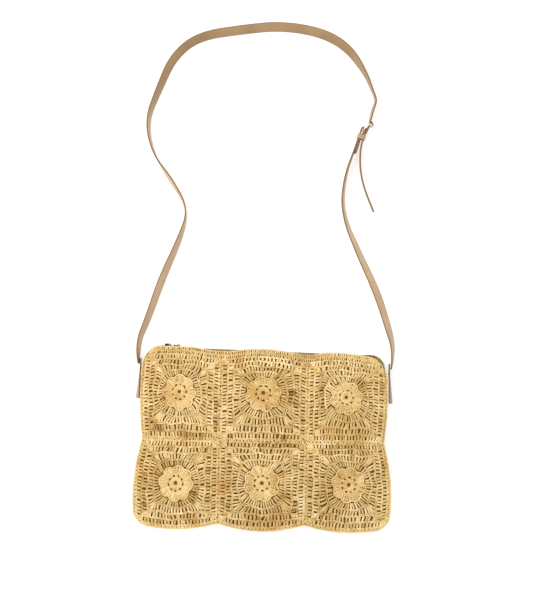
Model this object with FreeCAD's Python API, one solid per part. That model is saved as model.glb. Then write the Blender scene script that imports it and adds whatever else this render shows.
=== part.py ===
import FreeCAD, Part
import math
import os

# A crocheted crossbody purse: two walls of six granny squares each, a lined pouch, a zip along
# the top edge and a narrow leather strap with a pin buckle. It lies on its back on a table.
# Millimetres. +X is to the right, +Y towards the zip, +Z out of the front wall.
# The origin is under the middle of the bag, on the table.

V = FreeCAD.Vector
Z_AXIS = V(0, 0, 1)

# ---- bag: overall sizes -------------------------------------------------------------------
half_width_top = 125.0        # from the middle to the side edge, under the top corners
half_width_waist = 123.2      # at the middle seam, where the sides pull in
half_width_bottom = 130.0     # at the bottom corners
seam_y = -1.5                 # the seam between the upper and the lower squares
bottom_corner_y = -89.0
bottom_notch_y = -87.3        # where the upright seams pull the bottom edge in
zip_middle_y = 89.0           # top edge at the middle of the bag
zip_slope_deg = 1.1           # the top edge falls this much towards the right
column_width = 89.0           # width of the middle column of squares
side_bulge_upper = 2.5        # how far each stretch of edge swells past its two ends
side_bulge_lower = 4.6
bottom_bulge_outer = 6.6
bottom_bulge_middle = 8.0
top_corner_radius = 12.0
bottom_corner_radius = 13.0

# ---- bag: thickness -----------------------------------------------------------------------
middle_z = 9.0                # height of the side seam above the table
edge_half = 4.5               # half the thickness where the walls end at the side edges
border_half = 6.0             # half the thickness of the edging that they meet
front_rise = 19.0             # front wall above the seam plane at its highest
back_drop = 10.2              # back wall below it, before the table flattens it
puff_half_x = 128.0           # the swelling dies out at these distances
puff_top_y = 92.0
puff_bottom_y = 90.0
mouth_spread = 3.7            # the walls stand this much further apart along the zip
mouth_spread_start_y = 50.0
wall = 3.0                    # thickness of the crochet
border = 5.0                  # width of the edging row that joins front and back
joint_row = 4.0               # width of the rows that join the squares
lining_gap = 0.3
lining_thickness = 0.5
grid_x = 15                   # points across and up each swelling surface
grid_y = 11

# ---- zip ----------------------------------------------------------------------------------
zip_half_length = 115.0
tape_thickness = 0.7
tape_outer = 4.5              # the tape's folding line, from the middle of the zip
tape_level = -0.2             # tape below the top edge of the walls
channel_half = 5.1            # half the gap between the two walls along the zip
channel_depth = 7.0
left_end_length = 41.0        # sewn-down zip under the slider and its pull
right_end_length = 36.0
tooth_pitch = 2.5
tooth_length = 1.0
tooth_half_height = 1.2
tooth_tip = 0.5               # tips stop this far from the middle, clear of the slider's blade
tooth_root = 2.3
tape_past_tip = 0.8           # the tape's inner edge, from the teeth's tips
cap_length = 2.0              # the tape's closed end
teeth_from_end = 5.0
part_gap = 0.3                # clearance between the parts that move and their neighbours
slider_length = 11.0
slider_half_width = 4.0
slider_wall = 1.1
slider_gap = 0.4              # between the teeth and the slider's plates
slider_corner = 1.2
flange_width = 0.9
flange_gap = 0.35             # between the tape and the slider's flanges
overlap = 0.2                 # how far joined pieces of metal run into each other
slider_from_end = 15.0        # slider's middle, from the zip's left end
slider_to_end = 22.0          # and from the right end when the zip is open
blade_thickness = 0.4
blade_length = 3.0
crown_height = 2.0
crown_length = 6.0
crown_half_width = 0.9
crown_corner = 0.8
crown_pin_radius = 0.6
pin_from_crown_end = 1.1
pin_play = 0.05
pull_length = 19.0
pull_width = 4.0
pull_thickness = 1.0
pull_corner = 1.6
pull_slot_length = 5.5        # past the pin, so that the tab turns over the whole crown
pull_hole_radius = 1.0
pull_hole_from_tip = 2.6
stop_width = 1.2
stop_from_end = 2.6

# ---- strap --------------------------------------------------------------------------------
strap_width = 10.0
strap_thickness = 1.6
strap_z = 8.0                 # height of the strap's middle line, clear of the table at the buckle
sewn_length = 38.0            # from the hinge line down the side of the bag
sewn_left_x = -127.7          # middle of the leather sewn to each side edge
sewn_right_x = 128.3
hinge_y = 77.0                # the line that the strap swings about
long_strap_route = [
    (-129.9, 72.0), (-131.0, 95.0), (-121.3, 120.0), (-107.8, 162.0), (-89.8, 204.0),
    (-82.0, 234.0), (-101.0, 264.0), (-122.0, 290.0), (-130.0, 324.0), (-117.0, 358.0),
    (-101.0, 390.0), (-75.0, 412.0), (-31.0, 420.0), (9.0, 425.0), (51.0, 419.0), (85.0, 398.0),
    (102.0, 370.0), (109.7, 351.0), (106.1, 332.4), (96.5, 302.9), (94.7, 280.0),
    (99.2, 258.0), (107.2, 238.5),
]
buckle_run = 18               # the buckle sits on the run that starts at this point
short_strap_route = [
    (130.6, 72.0), (132.4, 90.0), (126.2, 116.0), (113.2, 154.0), (93.2, 194.0), (76.2, 234.0),
    (78.0, 270.0),
]
short_strap_last_run = 21.0
corner_share = 0.45           # share of the shorter run that an arc takes

# ---- buckle -------------------------------------------------------------------------------
buckle_from_corner = 11.0     # near bar, from the start of its run
bar_radius = 0.85
bar_gap = 0.2
layer_gap = 0.25
far_bar_along = 5.6
far_bar_gap = 0.45
frame_side_gap = 0.55
prong_radius = 0.6
prong_ring_wall = 0.8
prong_ring_gap = 0.08
prong_ring_half = 0.8
prong_lift_gap = 0.1          # between the resting prong and the far bar
prong_overhang = 1.4
prong_slot_half = 1.2
hole_length = 5.0
hole_width = 2.6
spare_hole_radius = 1.25
fold_length = 30.0
keeper_from_bar = 8.5
keeper_length = 5.0
keeper_wall = 1.2
keeper_gap = 0.3
keeper_corner = 0.9

# ---- stitches -----------------------------------------------------------------------------
thread_radius = 0.4
stitch_inset = 1.5
stitch_pitch = 3.4
fold_stitch_start = 17.0
fold_stitch_count = 4
sewn_stitch_count = 9
sewn_stitch_depth = 1.6

# ---- values worked out from those above ---------------------------------------------------
fold_inner = bar_radius + bar_gap
layer_offset = fold_inner + strap_thickness / 2
strap_offset = fold_inner + strap_thickness + layer_gap + strap_thickness / 2
far_bar_across = strap_offset + strap_thickness / 2 + far_bar_gap + bar_radius
frame_half_height = strap_width / 2 + frame_side_gap + bar_radius
seam_x = column_width / 2
sheet_half_x = half_width_bottom + 10.0
sheet_half_y = zip_middle_y + 16.5


def zip_to_bag(shape):
    """From the zip's own frame (X along it, Y out of the bag) to the bag's."""
    moved = shape.copy()
    moved.rotate(V(0, 0, 0), Z_AXIS, -zip_slope_deg)
    moved.translate(V(0, zip_middle_y, middle_z))
    return moved


def top_edge_y(x):
    """Height of the sloping top edge at a place across the bag."""
    return zip_middle_y - x * math.tan(math.radians(zip_slope_deg))


def block(x0, x1, y0, y1, z0, z1):
    """A box between two corners."""
    return Part.makeBox(x1 - x0, y1 - y0, z1 - z0, V(x0, y0, z0))


def lobe(start, end, bulge):
    """An arc from start to end that swells out to the right of that direction."""
    along = end - start
    outward = V(along.y, -along.x, 0).normalize()
    middle = (start + end) * 0.5 + outward * bulge
    return Part.Arc(start, middle, end).toShape()


def outline_prism(inset, z0, z1):
    """The bag's outline from above, moved in by inset, as an upright prism."""
    left_top = V(-half_width_top + inset, top_edge_y(-half_width_top), 0)
    left_waist = V(-half_width_waist + inset, seam_y, 0)
    left_bottom = V(-half_width_bottom + inset, bottom_corner_y + inset, 0)
    left_notch = V(-seam_x, bottom_notch_y + inset, 0)
    right_notch = V(seam_x, bottom_notch_y + inset, 0)
    right_bottom = V(half_width_bottom - inset, bottom_corner_y + inset, 0)
    right_waist = V(half_width_waist - inset, seam_y, 0)
    right_top = V(half_width_top - inset, top_edge_y(half_width_top), 0)
    edges = [
        lobe(left_top, left_waist, side_bulge_upper),
        lobe(left_waist, left_bottom, side_bulge_lower),
        lobe(left_bottom, left_notch, bottom_bulge_outer),
        lobe(left_notch, right_notch, bottom_bulge_middle),
        lobe(right_notch, right_bottom, bottom_bulge_outer),
        lobe(right_bottom, right_waist, side_bulge_lower),
        lobe(right_waist, right_top, side_bulge_upper),
        Part.makeLine(right_top, left_top),
    ]
    prism = Part.Face(Part.Wire(edges)).extrude(V(0, 0, z1 - z0))
    prism.translate(V(0, 0, z0))
    for corners, radius in (
        ((left_top, right_top), top_corner_radius),
        ((left_bottom, right_bottom), bottom_corner_radius),
    ):
        uprights = [edge for edge in prism.Edges if stands_on(edge, corners)]
        prism = prism.makeFillet(radius - inset, uprights)
    return prism


def stands_on(edge, corners):
    """Whether an upright edge rises from one of these corners of the outline."""
    a = edge.Vertexes[0].Point
    b = edge.Vertexes[-1].Point
    upright = abs(a.x - b.x) < 1e-6 and abs(a.y - b.y) < 1e-6 and abs(a.z - b.z) > 1
    return upright and any(math.hypot(a.x - c.x, a.y - c.y) < 1e-3 for c in corners)


def swelling(x, y):
    """How far the filled pouch swells at a place: 1 in the middle, 0 at its edges."""
    across = 1 - (abs(x) / puff_half_x) ** 3
    reach = puff_top_y if y > 0 else puff_bottom_y
    up = 1 - (abs(y) / reach) ** 3
    return across * up


def spread(y):
    """Extra half thickness near the zip, which holds the walls apart."""
    share = max(0.0, (y - mouth_spread_start_y) / (zip_middle_y - mouth_spread_start_y))
    return mouth_spread * min(1.0, share) ** 2


def wall_surface(peak, side, depth):
    """A wall's face: side is 1 for the front and -1 for the back; depth is measured inwards."""
    rows = []
    for i in range(grid_x):
        x = -sheet_half_x + 2 * sheet_half_x * i / (grid_x - 1)
        row = []
        for j in range(grid_y):
            y = -sheet_half_y + 2 * sheet_half_y * j / (grid_y - 1)
            out = edge_half + (peak - edge_half) * swelling(x, y) + spread(y)
            row.append(V(x, y, middle_z + side * (out - depth)))
        rows.append(row)
    surface = Part.BSplineSurface()
    surface.interpolate(rows)
    return surface.toShape()


def layer(peak, side, depth, thickness, inset):
    """A sheet of the wall between two depths, cut to the outline and clear of the zip."""
    sheet = wall_surface(peak, side, depth).extrude(V(0, 0, -side * thickness))
    if sheet.ShapeType != "Solid":
        sheet = Part.Solid(sheet)
    sheet = sheet.common(outline_prism(inset, 0.0, middle_z + 2 * front_rise))
    channel = block(-zip_half_length - 2, zip_half_length + 2, -channel_depth, 20.0, -channel_half,
                    channel_half)
    return sheet.cut(zip_to_bag(channel))


def half_space_above(level):
    """Everything above a level, so that the back wall lies flat on the table."""
    return block(-200.0, 200.0, -200.0, 200.0, level, 100.0)


def columns():
    """The three columns of squares as (name, left, right)."""
    half_row = joint_row / 2
    return [
        ("left", -200.0, -seam_x - half_row),
        ("middle", -seam_x + half_row, seam_x - half_row),
        ("right", seam_x + half_row, 200.0),
    ]


def squares_and_rows(side_name, sheet):
    """Cuts one wall into its six squares and the rows of stitches between them."""
    half_row = joint_row / 2
    made = {}
    for row_name, y0, y1 in (
        ("top", seam_y + half_row, 200.0),
        ("bottom", -200.0, seam_y - half_row),
    ):
        for column_name, x0, x1 in columns():
            piece = sheet.common(block(x0, x1, y0, y1, -50.0, 100.0))
            made[f"{side_name}_square_{row_name}_{column_name}"] = piece
    across = block(-200.0, 200.0, seam_y - half_row, seam_y + half_row, -50.0, 100.0)
    strips = [sheet.common(across)]
    for x in (-seam_x, seam_x):
        for y0, y1 in ((-200.0, seam_y - half_row), (seam_y + half_row, 200.0)):
            strips.append(sheet.common(block(x - half_row, x + half_row, y0, y1, -50.0, 100.0)))
    made[f"{side_name}_joining_rows"] = Part.makeCompound(strips)
    return made


def bag_walls():
    """Twelve squares, their joining rows, the edging and the two sides of the lining."""
    front = layer(front_rise, 1, 0.0, wall, border)
    back = layer(back_drop, -1, 0.0, wall, border).common(half_space_above(0.0))
    made = squares_and_rows("front", front)
    made.update(squares_and_rows("back", back))
    lining_depth = wall + lining_gap
    inset = border + lining_gap
    made["lining_front"] = layer(front_rise, 1, lining_depth, lining_thickness, inset)
    made["lining_back"] = layer(back_drop, -1, lining_depth, lining_thickness, inset)
    low = middle_z - border_half
    high = middle_z + border_half
    ring = outline_prism(0.0, low, high).cut(outline_prism(border, low - 1, high + 1))
    opening = block(-zip_half_length - 2, zip_half_length + 2, -channel_depth - 8, 30.0, -20.0, 20.0)
    made["edge_border"] = ring.cut(zip_to_bag(opening))
    return made


def tape(x0, x1, z0, z1):
    """A flat stretch of zip tape in the zip's frame."""
    low = tape_level - tape_thickness / 2
    return block(x0, x1, low, low + tape_thickness, z0, z1)


def tooth(x, side):
    """One tooth of the front (side 1) or back (side -1) row, gripping the tape's edge."""
    z0, z1 = sorted((side * tooth_tip, side * tooth_root))
    y0 = tape_level - tooth_half_height
    shape = block(x - tooth_length / 2, x + tooth_length / 2, y0, y0 + 2 * tooth_half_height, z0, z1)
    return shape.cut(tape_room(x, side))


def tape_room(x, side):
    """Cutter for the tape that a tooth or a stop near x grips."""
    z0, z1 = sorted((side * zip_tape_inner(), side * tape_outer))
    return tape(x - 2 * tooth_pitch, x + 2 * tooth_pitch, z0, z1)


def teeth(x0, x1, side):
    """The teeth of one row between two places along the zip; the back row is half a step on."""
    shift = 0.0 if side > 0 else tooth_pitch / 2
    made = []
    count = int(2 * zip_half_length / tooth_pitch)
    for i in range(count):
        x = -zip_half_length + tooth_pitch * (i + 0.5) + shift
        if x0 + tooth_length / 2 + overlap < x < x1 - tooth_length / 2 - overlap:
            made.append(tooth(x, side))
    return made


def zip_tape_inner():
    """Where the tape stops beside the teeth's tips."""
    return tooth_tip + tape_past_tip


def zip_parts():
    """Two folding halves, two sewn ends, end stops, slider and pull, in the zip's frame."""
    left = -zip_half_length + left_end_length
    right = zip_half_length - right_end_length
    inner = zip_tape_inner()
    made = {}
    for name, side in (("front", 1), ("back", -1)):
        z0, z1 = sorted((side * inner, side * tape_outer))
        made[f"zip_tape_{name}"] = tape(left + part_gap, right - part_gap, z0, z1)
        made[f"zip_teeth_{name}"] = Part.makeCompound(teeth(left + part_gap, right - part_gap, side))
    ends = (("left", -zip_half_length, left), ("right", right, zip_half_length))
    fixed_teeth = []
    for name, x0, x1 in ends:
        strips = [tape(x0, x1, inner, tape_outer), tape(x0, x1, -tape_outer, -inner)]
        cap = (x0, x0 + cap_length) if name == "left" else (x1 - cap_length, x1)
        strips.append(tape(cap[0], cap[1], -inner, inner))
        made[f"zip_end_{name}"] = strips[0].fuse(strips[1:]).removeSplitter()
        inside = (x0 + teeth_from_end, x1) if name == "left" else (x0, x1 - teeth_from_end)
        for side in (1, -1):
            fixed_teeth += teeth(inside[0], inside[1], side)
    made["zip_end_teeth"] = Part.makeCompound(fixed_teeth)
    made["zip_stops"] = Part.makeCompound(stops())
    made["zip_slider"] = slider()
    made["zip_pull_tab"] = pull_tab()
    return {name: zip_to_bag(shape) for name, shape in made.items()}


def stops():
    """Metal stops that hold the slider on the zip: two at the closed end, one at the other."""
    y0 = tape_level - tooth_half_height
    y1 = tape_level + tooth_half_height
    low = tape_level + tape_thickness / 2
    made = []
    x = -zip_half_length + stop_from_end
    for side in (1, -1):
        z0, z1 = sorted((side * tooth_tip, side * tooth_root))
        stop = block(x, x + stop_width, y0, y1, z0, z1)
        made.append(stop.cut(tape_room(x, side)))
    x = zip_half_length - stop_from_end - stop_width
    made.append(block(x, x + stop_width, low, y1, -tooth_root, tooth_root))
    return made


def slider_x():
    """The slider's middle along the zip when it is closed."""
    return -zip_half_length + slider_from_end


def slider_plate(y0, y1):
    """One plate of the slider, with rounded corners."""
    x0 = slider_x() - slider_length / 2
    x1 = slider_x() + slider_length / 2
    plate = block(x0, x1, y0, y1, -slider_half_width, slider_half_width)
    return plate.makeFillet(slider_corner, [e for e in plate.Edges if e.BoundBox.YLength > 0.5])


def slider():
    """Two plates round the teeth, joined by a thin blade between the rows, with a crown on top."""
    x0 = slider_x() - slider_length / 2
    gap = tooth_half_height + slider_gap
    top = tape_level + gap
    bottom = tape_level - gap
    half = blade_thickness / 2
    blade_x = x0 + overlap
    body = slider_plate(top, top + slider_wall).fuse([
        slider_plate(bottom - slider_wall, bottom),
        block(blade_x, blade_x + blade_length, bottom - overlap, top + overlap, -half, half),
    ])
    flange_low = tape_level + tape_thickness / 2 + flange_gap
    flange_x0 = x0 + slider_corner + overlap
    flange_x1 = x0 + slider_length - slider_corner - overlap
    for side in (1, -1):
        z0, z1 = sorted((side * (slider_half_width - flange_width), side * slider_half_width))
        body = body.fuse(block(flange_x0, flange_x1, flange_low, top + overlap, z0, z1))
    crown_low = top + slider_wall
    crown = block(slider_x() - crown_length / 2, slider_x() + crown_length / 2,
                  crown_low - overlap, crown_low + crown_height, -crown_half_width,
                  crown_half_width)
    crown_tops = [edge for edge in crown.Edges if edge.BoundBox.YMin > crown_low + 1
                  and edge.BoundBox.ZLength > 1]
    crown = crown.makeFillet(crown_corner, crown_tops)
    eye_start = pull_pivot() - V(0, 0, 2 * crown_half_width)
    eye = Part.makeCylinder(crown_pin_radius, 4 * crown_half_width, eye_start, Z_AXIS)
    return body.fuse(crown).cut(eye).removeSplitter()


def pull_pivot():
    """Centre of the pin that the pull turns on, in the zip's frame."""
    crown_low = tape_level + tooth_half_height + slider_gap + slider_wall
    return V(slider_x() + crown_length / 2 - pin_from_crown_end, crown_low + crown_half_width, 0)


def pull_tab():
    """A flat tab with a round hole near its tip, hung on a pin through the slider's crown."""
    pivot = pull_pivot()
    y0 = pivot.y - pull_thickness / 2
    y1 = pivot.y + pull_thickness / 2
    half = pull_width / 2
    x0 = pivot.x - crown_pin_radius
    x1 = pivot.x + pull_length
    tab = block(x0, x1, y0, y1, -half, half)
    tips = [edge for edge in tab.Edges if edge.BoundBox.XMin > x1 - 0.01
            and edge.BoundBox.YLength > 0.5]
    tab = tab.makeFillet(pull_corner, tips)
    slot_half = crown_half_width + part_gap
    slot = block(x0 - 1, pivot.x + pull_slot_length, y0 - 1, y1 + 1, -slot_half, slot_half)
    hole_start = V(x1 - pull_hole_from_tip, y0 - 1, 0)
    hole = Part.makeCylinder(pull_hole_radius, pull_thickness + 2, hole_start, V(0, 1, 0))
    pin = Part.makeCylinder(crown_pin_radius - pin_play, pull_width, pivot - V(0, 0, half), Z_AXIS)
    return tab.cut(slot).cut(hole).fuse(pin).removeSplitter()


def fillet_path(points):
    """Straight runs joined by tangent arcs: [(kind, data)] and the arcs' radii."""
    corners = [V(x, y, 0) for x, y in points]
    pieces = []
    radii = []
    start = corners[0]
    for before, corner, after in zip(corners, corners[1:], corners[2:]):
        inward = (corner - before).normalize()
        outward = (after - corner).normalize()
        turn = inward.getAngle(outward)
        shorter = min((corner - before).Length, (after - corner).Length)
        cut = corner_share * shorter
        radius = cut / math.tan(turn / 2)
        side = 1 if inward.cross(outward).z > 0 else -1
        first = corner - inward * cut
        last = corner + outward * cut
        centre = first + V(-inward.y, inward.x, 0) * (side * radius)
        pieces.append(("run", start, first))
        pieces.append(("arc", first, last, centre, radius, side))
        radii.append(radius)
        start = last
    pieces.append(("run", start, corners[-1]))
    return pieces, radii


def edge_lines(pieces, offset):
    """One long edge of the strap from above: the path moved to its left by offset."""
    edges = []
    for piece in pieces:
        if piece[0] == "run":
            start, end = piece[1], piece[2]
            along = (end - start).normalize()
            shift = V(-along.y, along.x, 0) * offset
            edges.append(Part.makeLine(start + shift, end + shift))
        else:
            first, last, centre, radius, side = piece[1:]
            scale = (radius - side * offset) / radius
            a = centre + (first - centre) * scale
            b = centre + (last - centre) * scale
            middle = ((first - centre) + (last - centre)).normalize() * (radius - side * offset)
            edges.append(Part.Arc(a, centre + middle, b).toShape())
    return edges


def path_length(pieces):
    """Length of the path's runs and arcs together."""
    total = 0.0
    for piece in pieces:
        if piece[0] == "run":
            total += (piece[2] - piece[1]).Length
        else:
            first, last, centre, radius = piece[1:5]
            total += radius * (first - centre).getAngle(last - centre)
    return total


def strap_band(name, points):
    """A flat strap standing on its edge along a route, with the radii and volume printed."""
    pieces, radii = fillet_path(points)
    half = strap_thickness / 2
    left = edge_lines(pieces, half)
    right = edge_lines(pieces, -half)
    ends = [
        Part.makeLine(left[0].Vertexes[0].Point, right[0].Vertexes[0].Point),
        Part.makeLine(left[-1].Vertexes[-1].Point, right[-1].Vertexes[-1].Point),
    ]
    wire = Part.Wire(Part.__sortEdges__(left + right + ends))
    band = Part.Face(wire).extrude(V(0, 0, strap_width))
    band.translate(V(0, 0, strap_z - strap_width / 2))
    length = path_length(pieces)
    print(name, "length", round(length, 1), "radii", [round(r) for r in radii])
    print(name, "volume", round(band.Volume), "section x length",
          round(strap_width * strap_thickness * length))
    return band


def hinge_disc(x, thickness):
    """The round end of a strap, centred on the line that the strap swings about."""
    start = V(x - thickness / 2, hinge_y, strap_z)
    return Part.makeCylinder(strap_width / 2, thickness, start, V(1, 0, 0))


def round_the_hinge(band, start):
    """Rounds the end of a strap about the line it swings on."""
    x, y = start
    reach = 2 * strap_thickness
    square = block(x - reach, x + reach, y - 1, hinge_y, strap_z - strap_width,
                   strap_z + strap_width)
    return band.cut(square.cut(hinge_disc(x, 2 * reach)))


def buckle_frame_axes():
    """The near bar's centre, the strap's direction back up its run, and the direction across."""
    top = V(*long_strap_route[buckle_run], 0)
    down = V(*long_strap_route[buckle_run + 1], 0)
    up = (top - down).normalize()
    across = V(up.y, -up.x, 0)
    bar = top - up * buckle_from_corner - across * strap_offset
    return V(bar.x, bar.y, strap_z), up, across


def to_buckle(shape):
    """From the buckle's frame (X up the strap, -Y across to the far side) to the bag's."""
    bar, up, across = buckle_frame_axes()
    moved = shape.copy()
    moved.rotate(V(0, 0, 0), Z_AXIS, math.degrees(math.atan2(up.y, up.x)))
    moved.translate(bar)
    return moved


def buckle_frame():
    """A wire loop: near bar, far bar and two sides, with round corners."""
    near = V(0, 0, 0)
    far = V(far_bar_along, -far_bar_across, 0)
    up = V(0, 0, frame_half_height)
    corners = [near - up, near + up, far + up, far - up]
    loop = None
    for a, b in zip(corners, corners[1:] + corners[:1]):
        bar = Part.makeCylinder(bar_radius, (b - a).Length, a, b - a)
        ball = Part.makeSphere(bar_radius, a)
        loop = bar.fuse(ball) if loop is None else loop.fuse([bar, ball])
    return to_buckle(loop.removeSplitter())


def prong_direction():
    """Along the prong in the buckle's frame: it lies over the far bar on its outer side."""
    distance = math.hypot(far_bar_along, far_bar_across)
    lift = math.asin((bar_radius + prong_radius + prong_lift_gap) / distance)
    angle = math.atan2(far_bar_across, far_bar_along) + lift
    return V(math.cos(angle), -math.sin(angle), 0), distance * math.cos(lift)


def buckle_prong():
    """A pin on a ring round the near bar, through the strap's hole and over the far bar."""
    inner = bar_radius + prong_ring_gap
    outer = inner + prong_ring_wall
    ring = Part.makeCylinder(outer, 2 * prong_ring_half, V(0, 0, -prong_ring_half))
    along, reach = prong_direction()
    pin = Part.makeCylinder(prong_radius, reach + prong_overhang, V(0, 0, 0), along)
    tip = Part.makeSphere(prong_radius, along * (reach + prong_overhang))
    bore = Part.makeCylinder(inner, 4 * prong_ring_half, V(0, 0, -2 * prong_ring_half))
    return to_buckle(ring.fuse([pin, tip]).cut(bore).removeSplitter())


def prong_slot():
    """The slot cut in the leather round the near bar, where the prong's ring turns."""
    reach = fold_inner + strap_thickness
    return block(-reach, 2 * reach, -2 * reach, 2 * reach, -prong_slot_half, prong_slot_half)


def fold_layer():
    """The short strap's end: turned round the near bar and laid back along the strap."""
    outer = fold_inner + strap_thickness
    half = strap_width / 2
    ring = Part.makeCylinder(outer, strap_width, V(0, 0, -half))
    ring = ring.cut(Part.makeCylinder(fold_inner, strap_width, V(0, 0, -half)))
    turn = ring.common(block(0, outer, -outer, outer, -half, half))
    back = block(-fold_length, 0, -outer, -fold_inner, -half, half)
    return to_buckle(turn.fuse(back).cut(prong_slot()).removeSplitter())


def keeper():
    """A leather loop that holds the strap's free end against the layers beside it."""
    a1 = -keeper_from_bar
    a0 = a1 - keeper_length
    y1 = layer_offset + strap_thickness / 2 + keeper_gap
    y0 = -(strap_offset + strap_thickness / 2 + keeper_gap)
    half = strap_width / 2 + keeper_gap
    outside = block(a0, a1, y0 - keeper_wall, y1 + keeper_wall, -half - keeper_wall, half + keeper_wall)
    long_edges = [edge for edge in outside.Edges if edge.BoundBox.XLength > keeper_length - 0.1]
    outside = outside.makeFillet(keeper_corner, long_edges)
    return to_buckle(outside.cut(block(a0 - 1, a1 + 1, y0, y1, -half, half)))


def short_route():
    """The short strap's points, the last two set by the bar that it is folded round."""
    bar, up, across = buckle_frame_axes()
    end = bar - across * layer_offset
    before = end - up * short_strap_last_run
    return short_strap_route + [(before.x, before.y), (end.x, end.y)]


def prong_hole():
    """The oval hole that the prong goes through, as a cutter across the strap."""
    along = prong_direction()[0]
    a = along.x / -along.y * strap_offset
    half = (hole_length - hole_width) / 2
    cutter = block(a - half, a + half, -strap_offset - 3, -strap_offset + 3,
                   -hole_width / 2, hole_width / 2)
    for place in (a - half, a + half):
        end = Part.makeCylinder(hole_width / 2, 6, V(place, -strap_offset - 3, 0), V(0, 1, 0))
        cutter = cutter.fuse(end)
    return to_buckle(cutter)


def spare_holes():
    """Cutters for the holes above the buckle and in the free end."""
    places = [
        (V(*long_strap_route[buckle_run - 2], 0), V(*long_strap_route[buckle_run - 1], 0), 0.5),
        (V(*long_strap_route[buckle_run + 1], 0), V(*long_strap_route[buckle_run + 2], 0), 0.5),
        (V(*long_strap_route[buckle_run + 2], 0), V(*long_strap_route[buckle_run + 3], 0), 0.5),
    ]
    cutters = []
    for a, b, share in places:
        along = (b - a).normalize()
        normal = V(-along.y, along.x, 0)
        centre = a + (b - a) * share + V(0, 0, strap_z)
        cutters.append(Part.makeCylinder(spare_hole_radius, 6, centre - normal * 3, normal))
    return cutters


def strap_parts():
    """Both straps with their sewn ends, the fold, stitches, buckle, prong and keeper."""
    made = {}
    long_strap = strap_band("long_strap", long_strap_route)
    long_strap = round_the_hinge(long_strap, long_strap_route[0])
    made["long_strap"] = long_strap.cut(prong_hole()).cut(spare_holes())
    short_strap = strap_band("short_strap", short_route())
    short_strap = round_the_hinge(short_strap, short_strap_route[0])
    made["short_strap"] = short_strap.cut(to_buckle(prong_slot()))
    made["strap_fold"] = fold_layer()
    made["buckle_frame"] = buckle_frame()
    made["buckle_prong"] = buckle_prong()
    made["strap_keeper"] = keeper()
    made["fold_stitches"] = Part.makeCompound(fold_stitches())
    for name, x, side in (("long_strap", sewn_left_x, -1), ("short_strap", sewn_right_x, 1)):
        made[f"{name}_sewn_end"] = sewn_end(x)
        made[f"{name}_sewn_stitches"] = Part.makeCompound(sewn_stitches(x, side))
    return made


def sewn_end(x):
    """The flat end of a strap, sewn to the side edge of the bag below its hinge line."""
    half = strap_thickness / 2
    flat = block(x - half, x + half, hinge_y - sewn_length, hinge_y,
                 strap_z - strap_width / 2, strap_z + strap_width / 2)
    return flat.fuse(hinge_disc(x, strap_thickness)).removeSplitter()


def fold_stitches():
    """Two rows of thread through both layers of the folded end."""
    made = []
    for i in range(fold_stitch_count):
        along = -fold_stitch_start - i * stitch_pitch
        for side in (1, -1):
            z = side * (strap_width / 2 - stitch_inset)
            low = V(along, -layer_offset - strap_thickness / 2 - thread_radius / 2, z)
            high = 2 * layer_offset + strap_thickness + thread_radius
            made.append(to_buckle(Part.makeCylinder(thread_radius, high, low, V(0, 1, 0))))
    return made


def sewn_stitches(x, side):
    """Two rows of thread through a sewn end into the edging behind it."""
    made = []
    outside = abs(x) + strap_thickness / 2 + thread_radius / 2
    for i in range(sewn_stitch_count):
        y = hinge_y - strap_width / 2 - stitch_inset - i * stitch_pitch
        for z_side in (1, -1):
            z = strap_z + z_side * (strap_width / 2 - stitch_inset)
            start = V(side * outside, y, z)
            made.append(Part.makeCylinder(thread_radius, strap_thickness + sewn_stitch_depth,
                                          start, V(-side, 0, 0)))
    return made


def write(shapes):
    """Checks every piece and writes one file for each."""
    os.makedirs("parts", exist_ok=True)
    for name, shape in shapes.items():
        if not shape.isValid() or not shape.Solids:
            raise ValueError(f"{name} is not a valid solid")
        shape.exportStep(f"parts/{name}.step")
        box = shape.BoundBox
        print(f"{name}: solids {len(shape.Solids)} volume {shape.Volume:.1f} "
              f"x {box.XMin:.1f} {box.XMax:.1f} y {box.YMin:.1f} {box.YMax:.1f} "
              f"z {box.ZMin:.1f} {box.ZMax:.1f}")


shapes = bag_walls()
shapes.update(zip_parts())
shapes.update(strap_parts())
write(shapes)
bar_centre, up_strap = buckle_frame_axes()[:2]
print("near bar", bar_centre, "up", up_strap)
print("pull pivot", zip_to_bag(Part.Vertex(pull_pivot())).Point)
print("slider travel", 2 * zip_half_length - slider_from_end - slider_to_end)
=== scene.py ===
# %% [markdown]
# # A crocheted purse with a leather strap
# The purse is two walls of six granny squares in natural raffia, a zip, and a thin leather strap with a
# small buckle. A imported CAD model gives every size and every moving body. This lesson dresses that frame:
# it makes the stitches, the leather and the metal as surfaces worked out with numpy. All lengths in the
# shape functions are millimetres.

# %% Load the frame
import math

import bpy
import numpy as np
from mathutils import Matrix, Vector


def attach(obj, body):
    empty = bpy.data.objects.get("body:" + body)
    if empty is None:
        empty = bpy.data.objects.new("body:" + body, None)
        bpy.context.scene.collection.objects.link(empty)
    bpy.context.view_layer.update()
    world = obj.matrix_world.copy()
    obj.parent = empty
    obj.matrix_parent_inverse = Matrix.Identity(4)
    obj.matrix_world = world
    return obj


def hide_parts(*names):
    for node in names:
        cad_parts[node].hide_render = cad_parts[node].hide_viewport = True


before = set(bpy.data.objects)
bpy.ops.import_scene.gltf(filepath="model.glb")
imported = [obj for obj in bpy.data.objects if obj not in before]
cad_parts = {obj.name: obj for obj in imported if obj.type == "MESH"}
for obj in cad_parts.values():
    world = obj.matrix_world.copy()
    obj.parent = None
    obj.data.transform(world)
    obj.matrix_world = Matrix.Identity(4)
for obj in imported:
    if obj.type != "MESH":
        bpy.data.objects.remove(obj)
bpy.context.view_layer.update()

MM = 0.001
rng = np.random.default_rng(7)

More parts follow.
